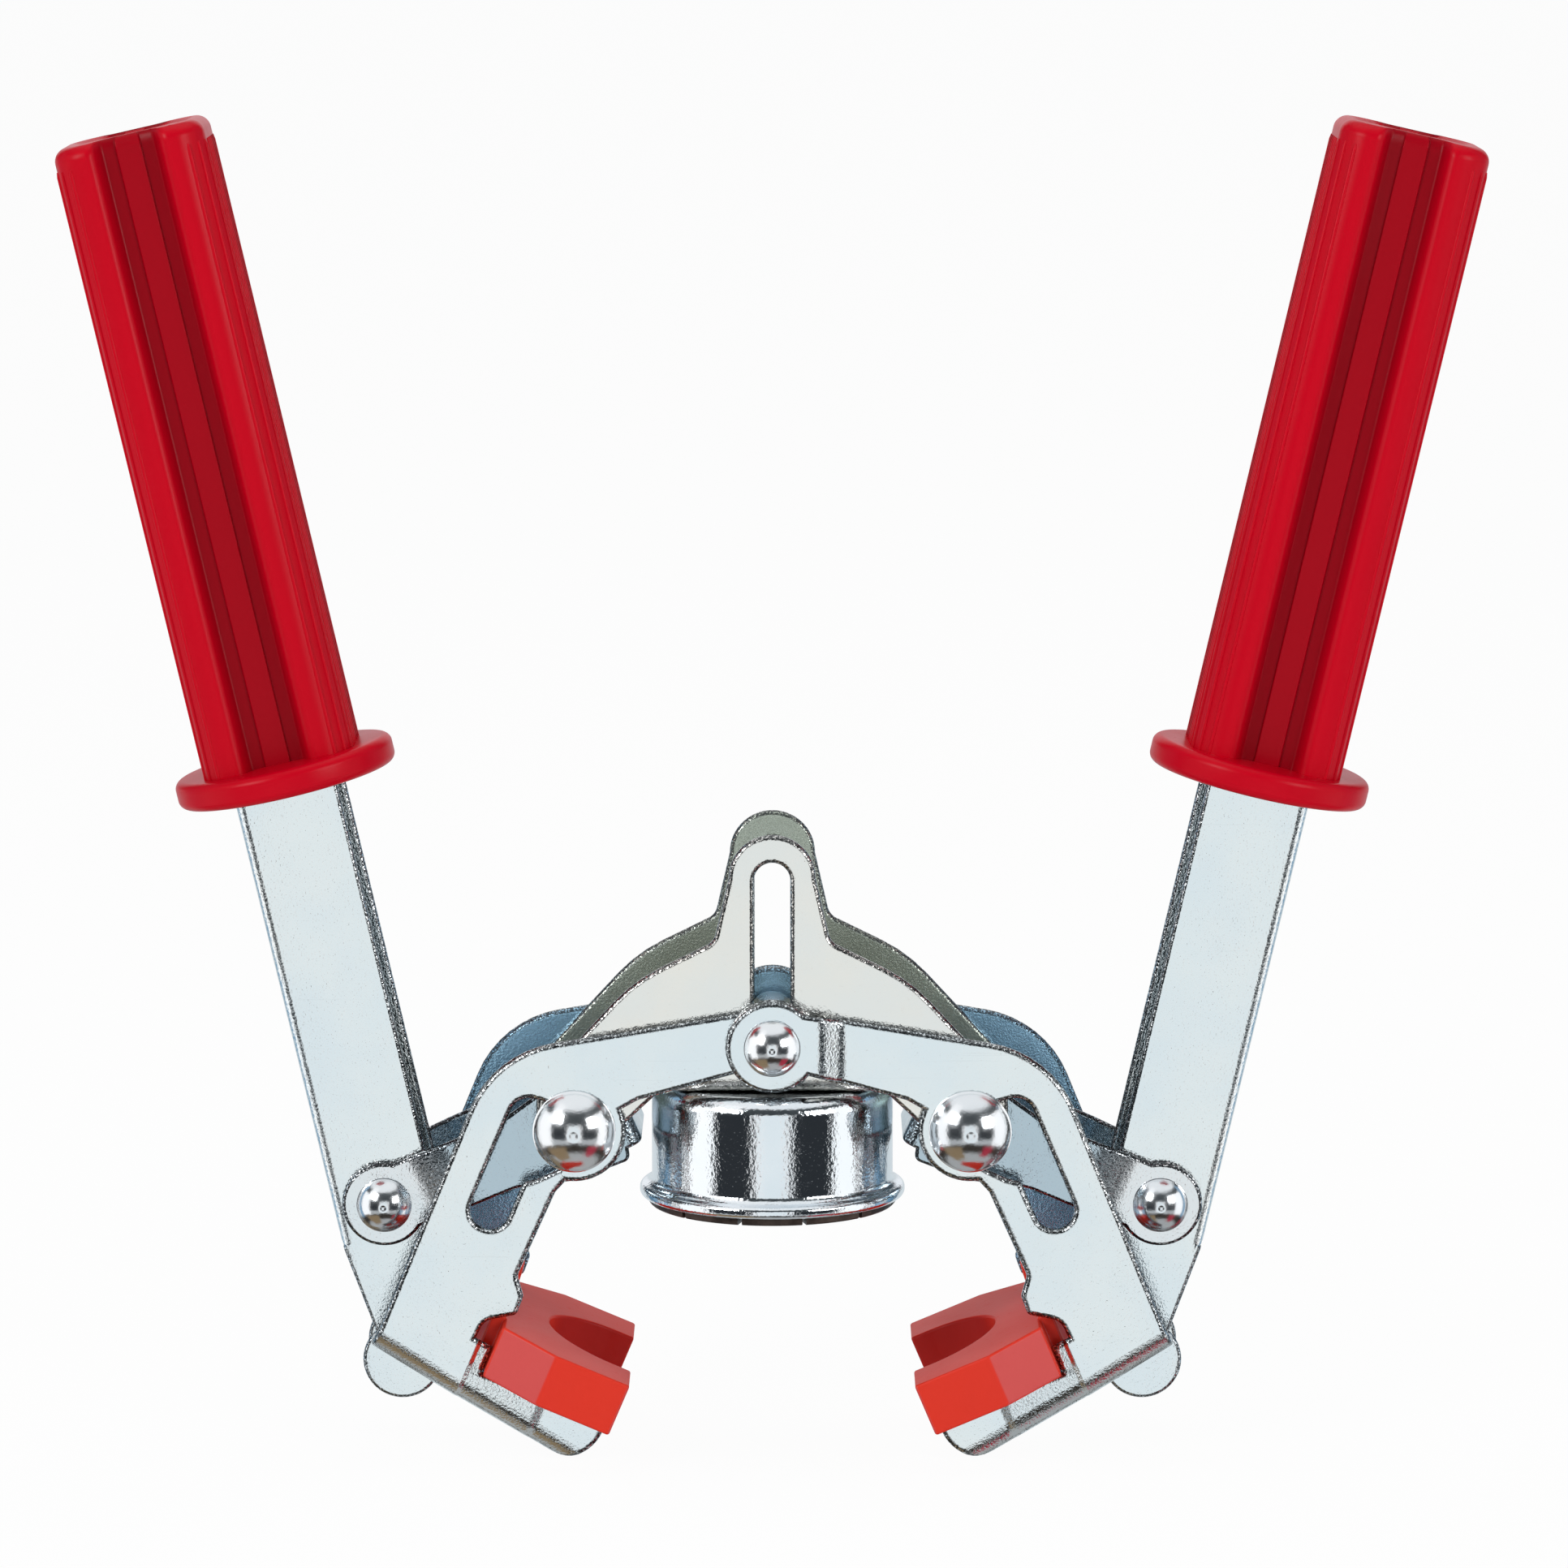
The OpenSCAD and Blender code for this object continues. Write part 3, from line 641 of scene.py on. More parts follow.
@dataclass(frozen=True)
class PlateFinish(Finish):
    """Bright plate on steel: cloudy tint, orange peel, fine handling marks, edge wear with a painted dark
    reflection, and painted shade.
    """

    peel: float = 0.2
    grain: float = 2200.0
    marks: float = 0.5
    wave: float = 0.0
    sparkle: float = 0.0
    bends: float = 0.0
    # Colour of painted shade and painted reflection on the inner faces.
    inside: Optional[Colour] = None
    # Colour of painted shade where the mesh carries its painted shade number.
    shaded: Optional[Colour] = None
    # Colour of edge wear with its painted dark reflection, and its share.
    burr_and_dark_reflection: Colour = (0.05, 0.055, 0.06)
    wear_and_reflection_share: float = 0.92
    inner_depth: Point = (0.011, 0.0135)

    def wire(self, bench: Bench) -> None:
        """Wires tint, gloss, wear with a painted dark reflection, painted shade and orange peel.

        Args:
            bench: The material's tree.
        """
        hair = bench.mask(HAIR)
        tint = bench.blend(bench.mask(CLOUD), self.colour, self.shade)
        dark = tuple(0.72 * c for c in self.shade)
        tint = bench.blend(bench.mask(SPECK) * (0.25 * self.marks) + hair * (0.2 * self.marks), tint, dark)
        rough = self.rough + 0.05 * bench.mask(PATCH) + 0.10 * self.marks * hair
        metal: Any = 1.0
        # Painted shade on the link's legs where they run behind the jaws.
        if self.shaded:
            tint = bench.blend(bench.painted("recess_shade"), tint, self.shaded)
        # Painted shade and painted dark reflection on the inner faces behind the front plates.
        if self.inside:
            inner = self.inner_shade_mask(bench, *self.inner_depth)
            tint = bench.blend(inner, tint, self.inside)
            rough = rough + 0.1 * inner
            metal = 1.0 - 0.25 * inner
        across = abs(bench.facing(1))
        bent = bench.ramp(across, 0.99, 0.94) - bench.ramp(across, 0.25, 0.1)
        # Edge wear on rims, and on bends where set, with a painted dark reflection on both.
        if self.sparkle:
            wear_and_dark_reflection = (bench.painted("rim") + self.bends * bent) * bench.mask(WEAR_AND_DARK_REFLECTION)
            tint = bench.blend(wear_and_dark_reflection * self.wear_and_reflection_share, tint, self.burr_and_dark_reflection)
        peel = (bench.noise(self.grain, 2.0) - 0.5) * (1.0 + self.sparkle * bent)
        if self.wave:
            peel = peel + self.wave * bench.noise(WAVES, 1.0)
        bench.surface({
            "Base Color": tint,
            "Metallic": metal,
            "Roughness": rough,
            "Normal": bench.bump(peel, self.peel, PEEL_DEPTH),
        })


@dataclass(frozen=True)
class MouldedFinish(Finish):
    """Moulded plastic: slight flow marks, faint grain and a thin gloss coat."""

    coat: float
    grain: float
    relief: float
    sheen: float
    # Colour of painted shade in recesses and on inner faces.
    inside: Colour
    # Colour of a painted sheen on facets that face sideways.
    painted_sheen: Optional[Colour] = None

    def wire(self, bench: Bench) -> None:
        """Wires flow marks, gloss, grain, a painted sheen and painted shade in recesses.

        Args:
            bench: The material's tree.
        """
        flow = bench.mask(FLOW)
        tint = bench.blend(flow * 0.55, self.colour, self.shade)
        # Painted sheen on the inserts' facets that face sideways to the front.
        if self.painted_sheen:
            slant = bench.ramp(abs(bench.facing(0)), 0.2, 0.34) * bench.ramp(bench.facing(1), -0.7, -0.85)
            tint = bench.blend(slant, tint, self.painted_sheen)
        # Painted shade in the grips' channels and on inner faces that look forward from behind.
        painted_shade = bench.painted("recess_shade") + self.inner_shade_mask(bench, 0.0, 0.002)
        bench.surface({
            "Base Color": bench.blend(painted_shade, tint, self.inside),
            "Roughness": self.rough + 0.07 * flow + 0.12 * bench.mask(DUST),
            "Specular IOR Level": self.sheen,
            "Coat Weight": self.coat * (1.0 - 0.4 * flow),
            "Coat Roughness": 0.16,
            "Normal": bench.bump(bench.noise(self.grain, 2.0), self.relief, GRAIN_DEPTH),
        })


@dataclass(frozen=True)
class DarkFinish(Finish):
    """Blackened steel or ferrite: dull, mottled and faintly oily."""

    metal: float
    grain: float = 1800.0
    relief: float = 0.12

    def wire(self, bench: Bench) -> None:
        """Wires the mottled dark skin.

        Args:
            bench: The material's tree.
        """
        mottle = bench.mask(MOTTLE)
        bench.surface({
            "Base Color": bench.blend(mottle, self.colour, self.shade),
            "Metallic": self.metal,
            "Roughness": self.rough + 0.15 * mottle,
            "Normal": bench.bump(bench.noise(self.grain, 2.0), self.relief, GRAIN_DEPTH),
        })


# On ZINC and GUIDE_ZINC the inner colour is painted shade and painted dark reflection on the inner faces.
ZINC = PlateFinish(
    "zinc_finish", "zinc_plate", (0.76, 0.815, 0.84), (0.81, 0.84, 0.84), 0.065,
    wave=1.2, sparkle=0.7, inside=(0.40, 0.66, 0.86),
)
GUIDE_ZINC = PlateFinish(
    "guide_finish", "zinc_plate", (0.81, 0.80, 0.77), (0.85, 0.81, 0.75), 0.075,
    wave=1.2, sparkle=0.7, inside=(0.46, 0.51, 0.44),
)
# Its shaded colour is painted shade on the legs behind the jaws.
LINK_ZINC = PlateFinish(
    "link_finish", "link_plate", (0.75, 0.79, 0.81), (0.79, 0.80, 0.81), 0.07,
    peel=0.22, grain=2000.0, marks=0.4, wave=12.0, sparkle=0.8, bends=0.9, shaded=(0.46, 0.55, 0.61),
)
POLISHED = PlateFinish(
    "polished_finish", "polished_plate", (0.82, 0.85, 0.88), (0.76, 0.81, 0.85), 0.06,
    peel=0.15, grain=1500.0, marks=0.3,
)
DOMED = PlateFinish(
    "domed_finish", "polished_plate", (0.82, 0.84, 0.86), (0.78, 0.81, 0.84), 0.16,
    peel=0.06, grain=1500.0, marks=0.3,
)
TURNED = PlateFinish(
    "turned_finish", "spacer_steel", (0.58, 0.60, 0.62), (0.50, 0.52, 0.54), 0.26,
    peel=0.06, grain=1200.0,
)
DARK_STEEL = DarkFinish(
    "dark_finish", "dark_steel", (0.045, 0.032, 0.027), (0.085, 0.062, 0.052), 0.34, metal=0.8
)
FERRITE = DarkFinish("ferrite_finish", "ferrite", (0.05, 0.05, 0.055), (0.09, 0.09, 0.095), 0.55, metal=0.1)
# Its inner colour is painted shade in the channels.
GRIP_RED = MouldedFinish(
    "grip_finish", "grip_plastic", (0.58, 0.0, 0.012), (0.52, 0.0, 0.010), 0.28,
    coat=0.0, grain=1500.0, relief=0.05, sheen=0.11, inside=(0.27, 0.0, 0.006),
)
# Its last two colours are painted shade on inner faces and a painted sheen on the side facets.
INSERT_RED = MouldedFinish(
    "insert_finish", "insert_plastic", (0.78, 0.030, 0.010), (0.72, 0.032, 0.016), 0.45,
    coat=0.02, grain=900.0, relief=0.10, sheen=0.3, inside=(0.48, 0.006, 0.002), painted_sheen=(0.68, 0.075, 0.070),
)


def coated(obj: bpy.types.Object, finish: Finish) -> None:
    """Gives an object one finish alone."""
    obj.data.materials.clear()
    obj.data.materials.append(finish.material())


def dressed(obj: bpy.types.Object, finish: Finish, body: str, *nodes: str) -> None:
    """Gives a finished piece its material and body, hides the CAD nodes that it stands for and logs its faces.

    Args:
        obj: The piece.
        finish: Its finish.
        body: The body that it rides on.
        nodes: The CAD nodes that it stands for.
    """
    coated(obj, finish)
    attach(obj, body)
    if nodes:
        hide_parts(*nodes)
    LOG.info("%s: %d faces on %s", obj.name, len(obj.data.polygons), body)


def piece(
    name: str, bm: bmesh.types.BMesh, place: Matrix, finish: Finish, body: str, *nodes: str, flats: bool = False
) -> None:
    """Turns a working mesh into a dressed piece.

    Args:
        name: Name of the piece.
        bm: The working mesh, which is freed.
        place: Its place in the tool's frame, in millimetres.
        finish: Its finish.
        body: The body that it rides on.
        nodes: The CAD nodes that it stands for.
        flats: Whether large flat faces stay flat beside rounded edges.
    """
    obj = shown(name, finished_mesh(name, bm, place))
    if flats:
        level_normals(obj)
    dressed(obj, finish, body, *nodes)


class Repeater:
    """A Geometry Nodes tree that sets one shape on every marked place."""

    def __init__(self) -> None:
        """Builds the tree with its named inputs."""
        tree = bpy.data.node_groups.new("repeated_shape", "GeometryNodeTree")
        face = tree.interface
        face.new_socket("Geometry", in_out="INPUT", socket_type="NodeSocketGeometry")
        self.shape_id = face.new_socket("Shape", in_out="INPUT", socket_type="NodeSocketObject").identifier
        self.size_id = face.new_socket("Size", in_out="INPUT", socket_type="NodeSocketFloat").identifier
        self.finish_id = face.new_socket("Finish", in_out="INPUT", socket_type="NodeSocketMaterial").identifier
        face.new_socket("Geometry", in_out="OUTPUT", socket_type="NodeSocketGeometry")
        new = tree.nodes.new
        start, end = new("NodeGroupInput"), new("NodeGroupOutput")
        shape, turn = new("GeometryNodeObjectInfo"), new("GeometryNodeInputNamedAttribute")
        euler, copies = new("FunctionNodeEulerToRotation"), new("GeometryNodeInstanceOnPoints")
        solid, paint = new("GeometryNodeRealizeInstances"), new("GeometryNodeSetMaterial")
        turn.data_type = "FLOAT_VECTOR"
        turn.inputs["Name"].default_value = "turn"
        wires = [
            (start, "Shape", shape, "Object"), (start, "Geometry", copies, "Points"),
            (shape, "Geometry", copies, "Instance"), (turn, "Attribute", euler, "Euler"),
            (euler, "Rotation", copies, "Rotation"), (start, "Size", copies, "Scale"),
            (copies, "Instances", solid, "Geometry"), (solid, "Geometry", paint, "Geometry"),
            (start, "Finish", paint, "Material"), (paint, "Geometry", end, "Geometry"),
        ]
        for source, out, target, into in wires:
            tree.links.new(source.outputs[out], target.inputs[into])
        self.tree = tree

    def copies(
        self,
        name: str,
        shape: bpy.types.Mesh,
        places: Sequence[tuple[Vector, Sequence[float]]],
        finish: Finish,
        body: str,
    ) -> None:
        """Makes one dressed piece of all the copies of a shape.

        Args:
            name: Name of the piece.
            shape: The shape, in metres, about its own origin.
            places: Place, in metres, and turn of each copy.
            finish: The finish of the copies.
            body: The body that they ride on.
        """
        pattern = shown(name + "_shape", shape)
        marks = bpy.data.meshes.new(name)
        marks.from_pydata([tuple(p) for p, _ in places], [], [])
        turns = marks.attributes.new("turn", "FLOAT_VECTOR", "POINT")
        for k, (_, angles) in enumerate(places):
            turns.data[k].vector = angles
        obj = shown(name, marks)
        modifier = obj.modifiers.new("copies", "NODES")
        modifier.node_group = self.tree
        modifier[self.shape_id] = pattern
        modifier[self.size_id] = 1.0
        modifier[self.finish_id] = finish.material()
        mesh = baked(obj)
        obj.modifiers.remove(modifier)
        obj.data = mesh
        mesh.name = name
        spent = mesh.attributes.get("turn")
        if spent:
            mesh.attributes.remove(spent)
        mesh.set_sharp_from_angle(angle=SHARP)
        bpy.data.meshes.remove(marks)
        bpy.data.objects.remove(pattern)
        dressed(obj, finish, body)


@dataclass
class Jaw:
    """One jaw: a single blank with two blades, folded at the foot, with its plastic insert."""

    thickness: float = 2.0
    edge: float = 1.05
    half_depth: float = 17.4
    fold: float = 3.0
    tilt: float = 23.0
    seat: Point = (52.6, -58.0)
    blade: float = 22.6
    reach: float = 25.5
    outer_drop: float = 9.2
    inner_drop: float = 17.0
    hub_r: float = 8.75
    lug_r: float = 9.8
    rivet: Point = HEAD_RIVET
    pin_hole: float = 3.35
    cam_bend: Point = (45.75, -13.8)
    cam_leg: float = 19.3
    cam_half: float = 3.7
    cam_path_r: float = 3.4
    stroke: float = 24.0
    close: float = 22.0
    crease: float = 3.2
    slope: float = 16.7
    step: float = 2.8
    crease_w: float = 0.6
    crease_step: float = 0.6
    crease_soft: float = 0.2
    bend_w: float = 1.5
    bend_step: float = 0.55
    bend_soft: float = 0.4
    corner_r: float = 8.5
    hub_stub: float = 9.3
    hub_slope: float = 3.8
    hub_step: float = 2.3
    hub_soft: float = 1.0
    foot_top: float = 0.25
    toe_half: float = 10.4
    toe_in: float = 1.0
    neck_x: float = -22.3
    neck_r: float = 14.0
    notch_half: float = 12.0
    insert_edge: float = 0.9

    def __post_init__(self) -> None:
        """Works out the frame of the foot's fold, and where its walls and the hub step."""
        rise = math.atan2(self.inner_drop - self.outer_drop, self.blade + self.reach)
        self.lean = math.degrees(rise)
        self.angle = self.tilt + self.lean
        outer_r = self.fold + self.thickness / 2
        self.origin = added(self.at(-self.reach, -self.inner_drop), turned((0.0, outer_r), self.angle))
        self.arc = self.fold * math.pi / 2
        self.flat = self.half_depth - self.fold
        self.back = opposite(2 * (self.arc + self.flat))
        self.crease_end = self.crease - self.crease_w
        self.bend_start = self.crease - self.slope + self.bend_w
        self.hub_ends = (self.hub_stub, self.hub_stub + self.hub_slope)

    def at(self, across: float, along: float) -> Point:
        """Point given from the seat in the jaw's tilted axes, as seen from the centre pin."""
        return added(self.seat, turned((across, along), self.tilt))

    def local(self, p: Point) -> Point:
        """Point in the axes of the fold."""
        return turned((p[0] - self.origin[0], p[1] - self.origin[1]), -self.angle)

    def run(self, across: float) -> float:
        """Place along the fold of a point of the foot."""
        return (across + self.reach) / math.cos(math.radians(self.lean))

    def inset(self, across: float) -> float:
        """Inward step of the foot's walls: a sharp crease, a slope and a softer bend.

        Args:
            across: Place along the foot.

        Returns:
            The step there.
        """
        crease, bend = self.crease_end, self.bend_start
        rest = self.step - self.crease_step - self.bend_step
        return (
            self.crease_step * (1 - eased(across, crease, self.crease, self.crease_soft))
            + rest * (1 - eased(across, bend, crease, self.crease_soft))
            + self.bend_step * (1 - eased(across, bend - self.bend_w, bend, self.bend_soft))
        )

    def upper(self) -> list[Corner]:
        """Corners of one blade from its foot's inner end round to its outer end.

        Returns:
            The corners in the axes of the fold, each with its radius.
        """
        rx, rz = self.rivet
        raw = [
            (self.at(-self.reach, -5.75), 1.7), (self.at(0.15, -5.75), 0.3), (self.at(0.15, -0.4), 0.0),
            (self.at(3.9, 0.2), 0.0), (self.at(3.7, 3.9), 3.2), (self.at(-1.5, 7.3), 1.2),
            (self.at(-1.3, 11.2), 1.7), (self.at(1.3, 14.4), 2.0), (self.at(0.9, 32.0), 1.0),
            ((rx + 1.0, rz + 0.8 - self.lug_r), 0.0), ((rx + 2.4 - self.lug_r, rz + 3.2), 0.0),
            ((rx - 12.0, rz + 5.8), 2.0), ((0.0, 5.2 - self.hub_r), 0.0), ((0.0, self.hub_r - 1.45), 0.0),
            (self.at(self.blade - 0.5, 52.0), 21.0),
        ]
        return [(*self.local(p), r) for p, r in raw]

    def notch(self, count: int = 20) -> Loop:
        """Edge of the web round the bottle's neck.

        Args:
            count: Steps along it.

        Returns:
            Its points in the axes of the fold, from front to back.
        """
        edge: Loop = []
        for k in range(count + 1):
            y = -self.notch_half + 2 * self.notch_half * k / count
            across = self.neck_x + math.sqrt(self.neck_r**2 - y * y)
            y *= self.half_depth / (self.half_depth - self.inset(across))
            edge.append((self.run(across), -(self.arc + self.flat + y)))
        return edge

    def outline(self) -> Loop:
        """Outline of the whole blank.

        Returns:
            Its points in the axes of the fold.
        """
        front = self.upper()
        end = self.run(self.blade) - 0.6
        lip = -self.arc
        strip = -(self.arc + self.flat - self.toe_half)
        opening = self.run(-self.toe_in)
        inner = [(0.0, lip, self.corner_r)]
        outer = [(end, 0.0, 0.0), (end, strip, 1.7), (opening, strip, 1.5)]
        half = inner + front + outer
        notch = [(x, w, 0.0) for x, w in self.notch()]
        loop = rounded(half + [self.back(c) for c in half[::-1]] + notch[::-1])
        for centre, radius in (((0.0, 0.0), self.hub_r), (self.rivet, self.lug_r)):
            for place in (self.local(centre), self.back(self.local(centre))):
                loop = with_lug(loop, place, radius)
        return loop

    def rivet_path(self, share: float) -> Vector:
        """Place of the head rivet in the jaw when a share of the travel is done."""
        return Vector(turned((self.rivet[0], self.rivet[1] - self.stroke * share), self.close * share))

    def path_side(self, share: float) -> Vector:
        """Point on the lower side of the rivet's path."""
        along = (self.rivet_path(share + 0.01) - self.rivet_path(share - 0.01)).normalized()
        return self.rivet_path(share) + self.cam_path_r * Vector((along.y, -along.x))

    def cam_slot(self) -> Loop:
        """Outline of the cam slot.

        Returns:
            Its points, from the centre pin.
        """
        half = self.cam_half
        leg, out = Vector(turned((0, -1), self.tilt)), Vector(turned((1, 0), self.tilt))
        bend, rivet = Vector(self.cam_bend), Vector(self.rivet)
        arm = (bend - rivet).normalized()
        up = Vector((-arm.y, arm.x))
        foot = bend + leg * self.cam_leg

        def meet(p: Vector, u: Vector, q: Vector, v: Vector) -> Vector:
            """Where two lines meet."""
            d = q - p
            return p + u * ((d.x * v.y - d.y * v.x) / (u.x * v.y - u.y * v.x))

        last = self.path_side(1.0)
        lower = [(self.path_side(share), 0.0) for share in (0.75, 0.5, 0.25)]
        corners = [
            (rivet + half * (up - arm), half / 2),
            (meet(rivet + half * up, arm, bend + half * out, leg), half),
            (foot + half * (leg + out), half * 0.98),
            (foot + half * (leg - out), half * 0.98),
            (meet(bend - half * out, leg, last, lower[0][0] - last), half / 4),
            *lower,
            (rivet - half * (up + arm), half / 4),
        ]
        return rounded([(p.x, p.y, r) for p, r in corners])

    def sheet(self) -> bmesh.types.BMesh:
        """The folded and stepped jaw.

        Returns:
            Its working mesh, from the centre pin.
        """
        holes = []
        for loop in (circle((0.0, 0.0), self.pin_hole), self.cam_slot()):
            flat = [self.local(p) for p in loop]
            holes += [flat, [self.back(p) for p in flat]]
        bm = plate(self.outline(), holes, self.thickness, self.edge, self.half_depth)
        channelled(bm, self.half_depth, self.fold)
        turn = Matrix.Rotation(-math.radians(self.angle), 4, "Y")
        place = Matrix.Translation((self.origin[0], 0, self.origin[1])) @ turn
        bmesh.ops.transform(bm, matrix=place, verts=bm.verts)
        self.stepped(bm)
        return bm

    def stepped(self, bm: bmesh.types.BMesh) -> None:
        """Sets the foot's walls inwards beside the insert, and the front hub outwards.

        Args:
            bm: The jaw's working mesh, from the centre pin.
        """
        ax, az = turned((1, 0), self.tilt)
        seat = Vector((self.seat[0], 0, self.seat[1]))
        across, up = Vector((ax, 0, az)), Vector((-az, 0, ax))
        bends = (self.bend_start, self.bend_start - self.bend_w)
        scored(bm, seat, across, around((self.crease, self.crease_end), self.crease_soft, 1))
        scored(bm, seat, across, around(bends, self.bend_soft, 1))
        scored(bm, Vector(), Vector((1, 0, 0)), around(self.hub_ends, self.hub_soft, 2))
        for vert in bm.verts:
            a, b = (vert.co - seat).dot(across), (vert.co - seat).dot(up)
            if a < self.crease + self.crease_soft and b < self.foot_top:
                vert.co.y *= 1 - self.inset(a) / self.half_depth
            elif vert.co.x < self.hub_ends[1] + self.hub_soft and vert.co.y < 0:
                vert.co.y -= self.hub_step * (1 - eased(vert.co.x, *self.hub_ends, self.hub_soft))

    def build(self, side: Side) -> None:
        """Builds the jaw and its insert on one side."""
        jaw, place = side.named("jaw"), side.turn() @ from_pin((0.0, 0.0))
        piece(jaw + "_sheet", self.sheet(), place, ZINC, jaw, jaw, flats=True)
        self.build_insert(side)

    def build_insert(self, side: Side) -> None:
        """Rounds the edges of a copy of the plastic insert's CAD node.

        Args:
            side: The insert's side.
        """
        node = side.named("insert")
        bm = bmesh.new()
        bm.from_mesh(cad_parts[node].data)
        bmesh.ops.remove_doubles(bm, verts=bm.verts, dist=2e-6)
        bmesh.ops.dissolve_limit(bm, angle_limit=math.radians(1.0), verts=bm.verts, edges=bm.edges)
        obj = shown(node + "_block", mesh_of(node + "_block", bm))
        bevel = obj.modifiers.new("edges", "BEVEL")
        bevel.width = self.insert_edge * MM
        bevel.segments = 4
        bevel.limit_method = "ANGLE"
        bevel.angle_limit = math.radians(18)
        bevel.use_clamp_overlap = True
        level_normals(obj)
        dressed(obj, INSERT_RED, side.named("jaw"), node)


@dataclass
class Link:
    """One link: a blank with two legs folded round the head rivet's spacer, with joggled eyes."""

    thickness: float = 1.8
    edge: float = 0.75
    half_depth: float = 12.9
    fold: float = 2.0
    tail: float = 10.5
    length: float = 39.512
    drop: float = 23.255
    rivet: Point = HEAD_RIVET
    leg_half: float = 6.6
    eye_r: float = 8.0
    head_hole: float = 3.05
    eye_hole: float = 2.62
    eye_step: float = 2.1
    step_end: float = 31.6
    step_start: float = 24.0
    step_soft: float = 1.2

    def build(self, side: Side) -> None:
        """Builds the link on one side.

        Args:
            side: The link's side.
        """
        back = opposite(self.fold * math.pi + 2 * (self.half_depth - self.fold))
        shift = self.tail - (self.fold + self.thickness / 2)
        leg, end = self.leg_half, self.length + shift
        half = [
            (8.0, 0.0, 0.0), (10.2, 0.6, 1.5), (9.8, 4.0 + shift, 8.0), (leg, 15.0 + shift, 12.0),
            (leg, end, 0.0), (-leg, end, 0.0), (-leg, 12.0 + shift, 12.0),
            (-9.6, -1.0 + shift, 5.0), (-7.0, 0.0, 0.0),
        ]
        loop = rounded(half + [back(c) for c in half[::-1]])
        eye, head = (0.0, end), (0.0, shift)
        for place in (eye, back(eye)):
            loop = with_lug(loop, place, self.eye_r)
        holes = [circle(p, r) for c, r in ((eye, self.eye_hole), (head, self.head_hole)) for p in (c, back(c))]
        bm = plate(loop, holes, self.thickness, self.edge, self.half_depth)
        channelled(bm, self.half_depth, self.fold)
        ends = (self.step_start + shift, self.step_end + shift)
        scored(bm, Vector(), -DOWN, around(ends, self.step_soft, 2))
        # Painted shade: 1 on the legs behind the jaw's blade, fading to 0 at the eyes.
        recess_shade = bm.verts.layers.float.new("recess_shade")
        for vert in bm.verts:
            share = eased(vert.co.z, *ends, self.step_soft)
            vert.co.y -= math.copysign(self.eye_step * share, vert.co.y)
            vert[recess_shade] = 1 - share
        tail = added(self.rivet, turned((-shift, 0.0), -self.drop))
        link, place = side.named("link"), side.turn() @ from_pin(tail, 90 + self.drop)
        piece(link + "_strap", bm, place, LINK_ZINC, link, link, flats=True)


@dataclass
class Lever:
    """One lever: a folded channel with a round toe."""

    thickness: float = 1.8
    edge: float = 0.75
    half_depth: float = 8.7
    fold: float = 1.1
    half_w: float = 9.85
    reach: float = 194.8
    tilt: float = LEVER_TILT
    rivet: Point = LINK_RIVET
    toe: Point = (3.81, -30.52)
    toe_r: float = 7.5
    hole: float = 2.65
    back_end: float = -6.2
    run_out: float = 0.4
    rear_in: float = 0.15

    def build(self, side: Side) -> None:
        """Builds the lever on one side.

        Args:
            side: The lever's side.
        """
        line = self.half_w - self.fold - self.thickness / 2
        web = self.fold * math.pi + 2 * (self.half_depth - self.fold)
        back = opposite(web)

        def flat(across: float, along: float, radius: float = 0.0) -> Corner:
            """Corner of the front flange."""
            return (along, line - across, radius)

        tx, tz = self.toe
        rear = self.half_w - self.rear_in
        half = [
            flat(-self.half_w, self.reach), flat(-self.half_w, -14.0, 6.0),
            flat(tx - self.toe_r + 0.5, tz), flat(tx, tz), flat(tx + 3.6, tz + 6.0),
            flat(rear, self.back_end - self.run_out - 0.8, 1.0), flat(rear, self.back_end),
        ]
        loop = rounded(half + [back(c) for c in half[::-1]])
        toe, pivot = flat(tx, tz)[:2], flat(0.0, 0.0)[:2]
        for place in (toe, back(toe)):
            loop = with_lug(loop, place, self.toe_r)
        holes = [circle(p, self.hole) for p in (pivot, back(pivot))]
        bm = plate(loop, holes, self.thickness, self.edge, self.half_depth)
        scored(bm, Vector((self.back_end, 0, 0)), Vector((1, 0, 0)), [-self.run_out, 0.0])
        end = self.back_end - self.run_out / 2
        channelled(bm, self.half_depth, self.fold, front=(end, web / 2), back=(end, -self.toe_r))
        foot = added(self.rivet, turned((line, 0.0), -self.tilt))
        lever, place = side.named("lever"), side.turn() @ from_pin(foot, self.tilt - 90)
        piece(lever + "_channel", bm, place, ZINC, lever, lever, flats=True)


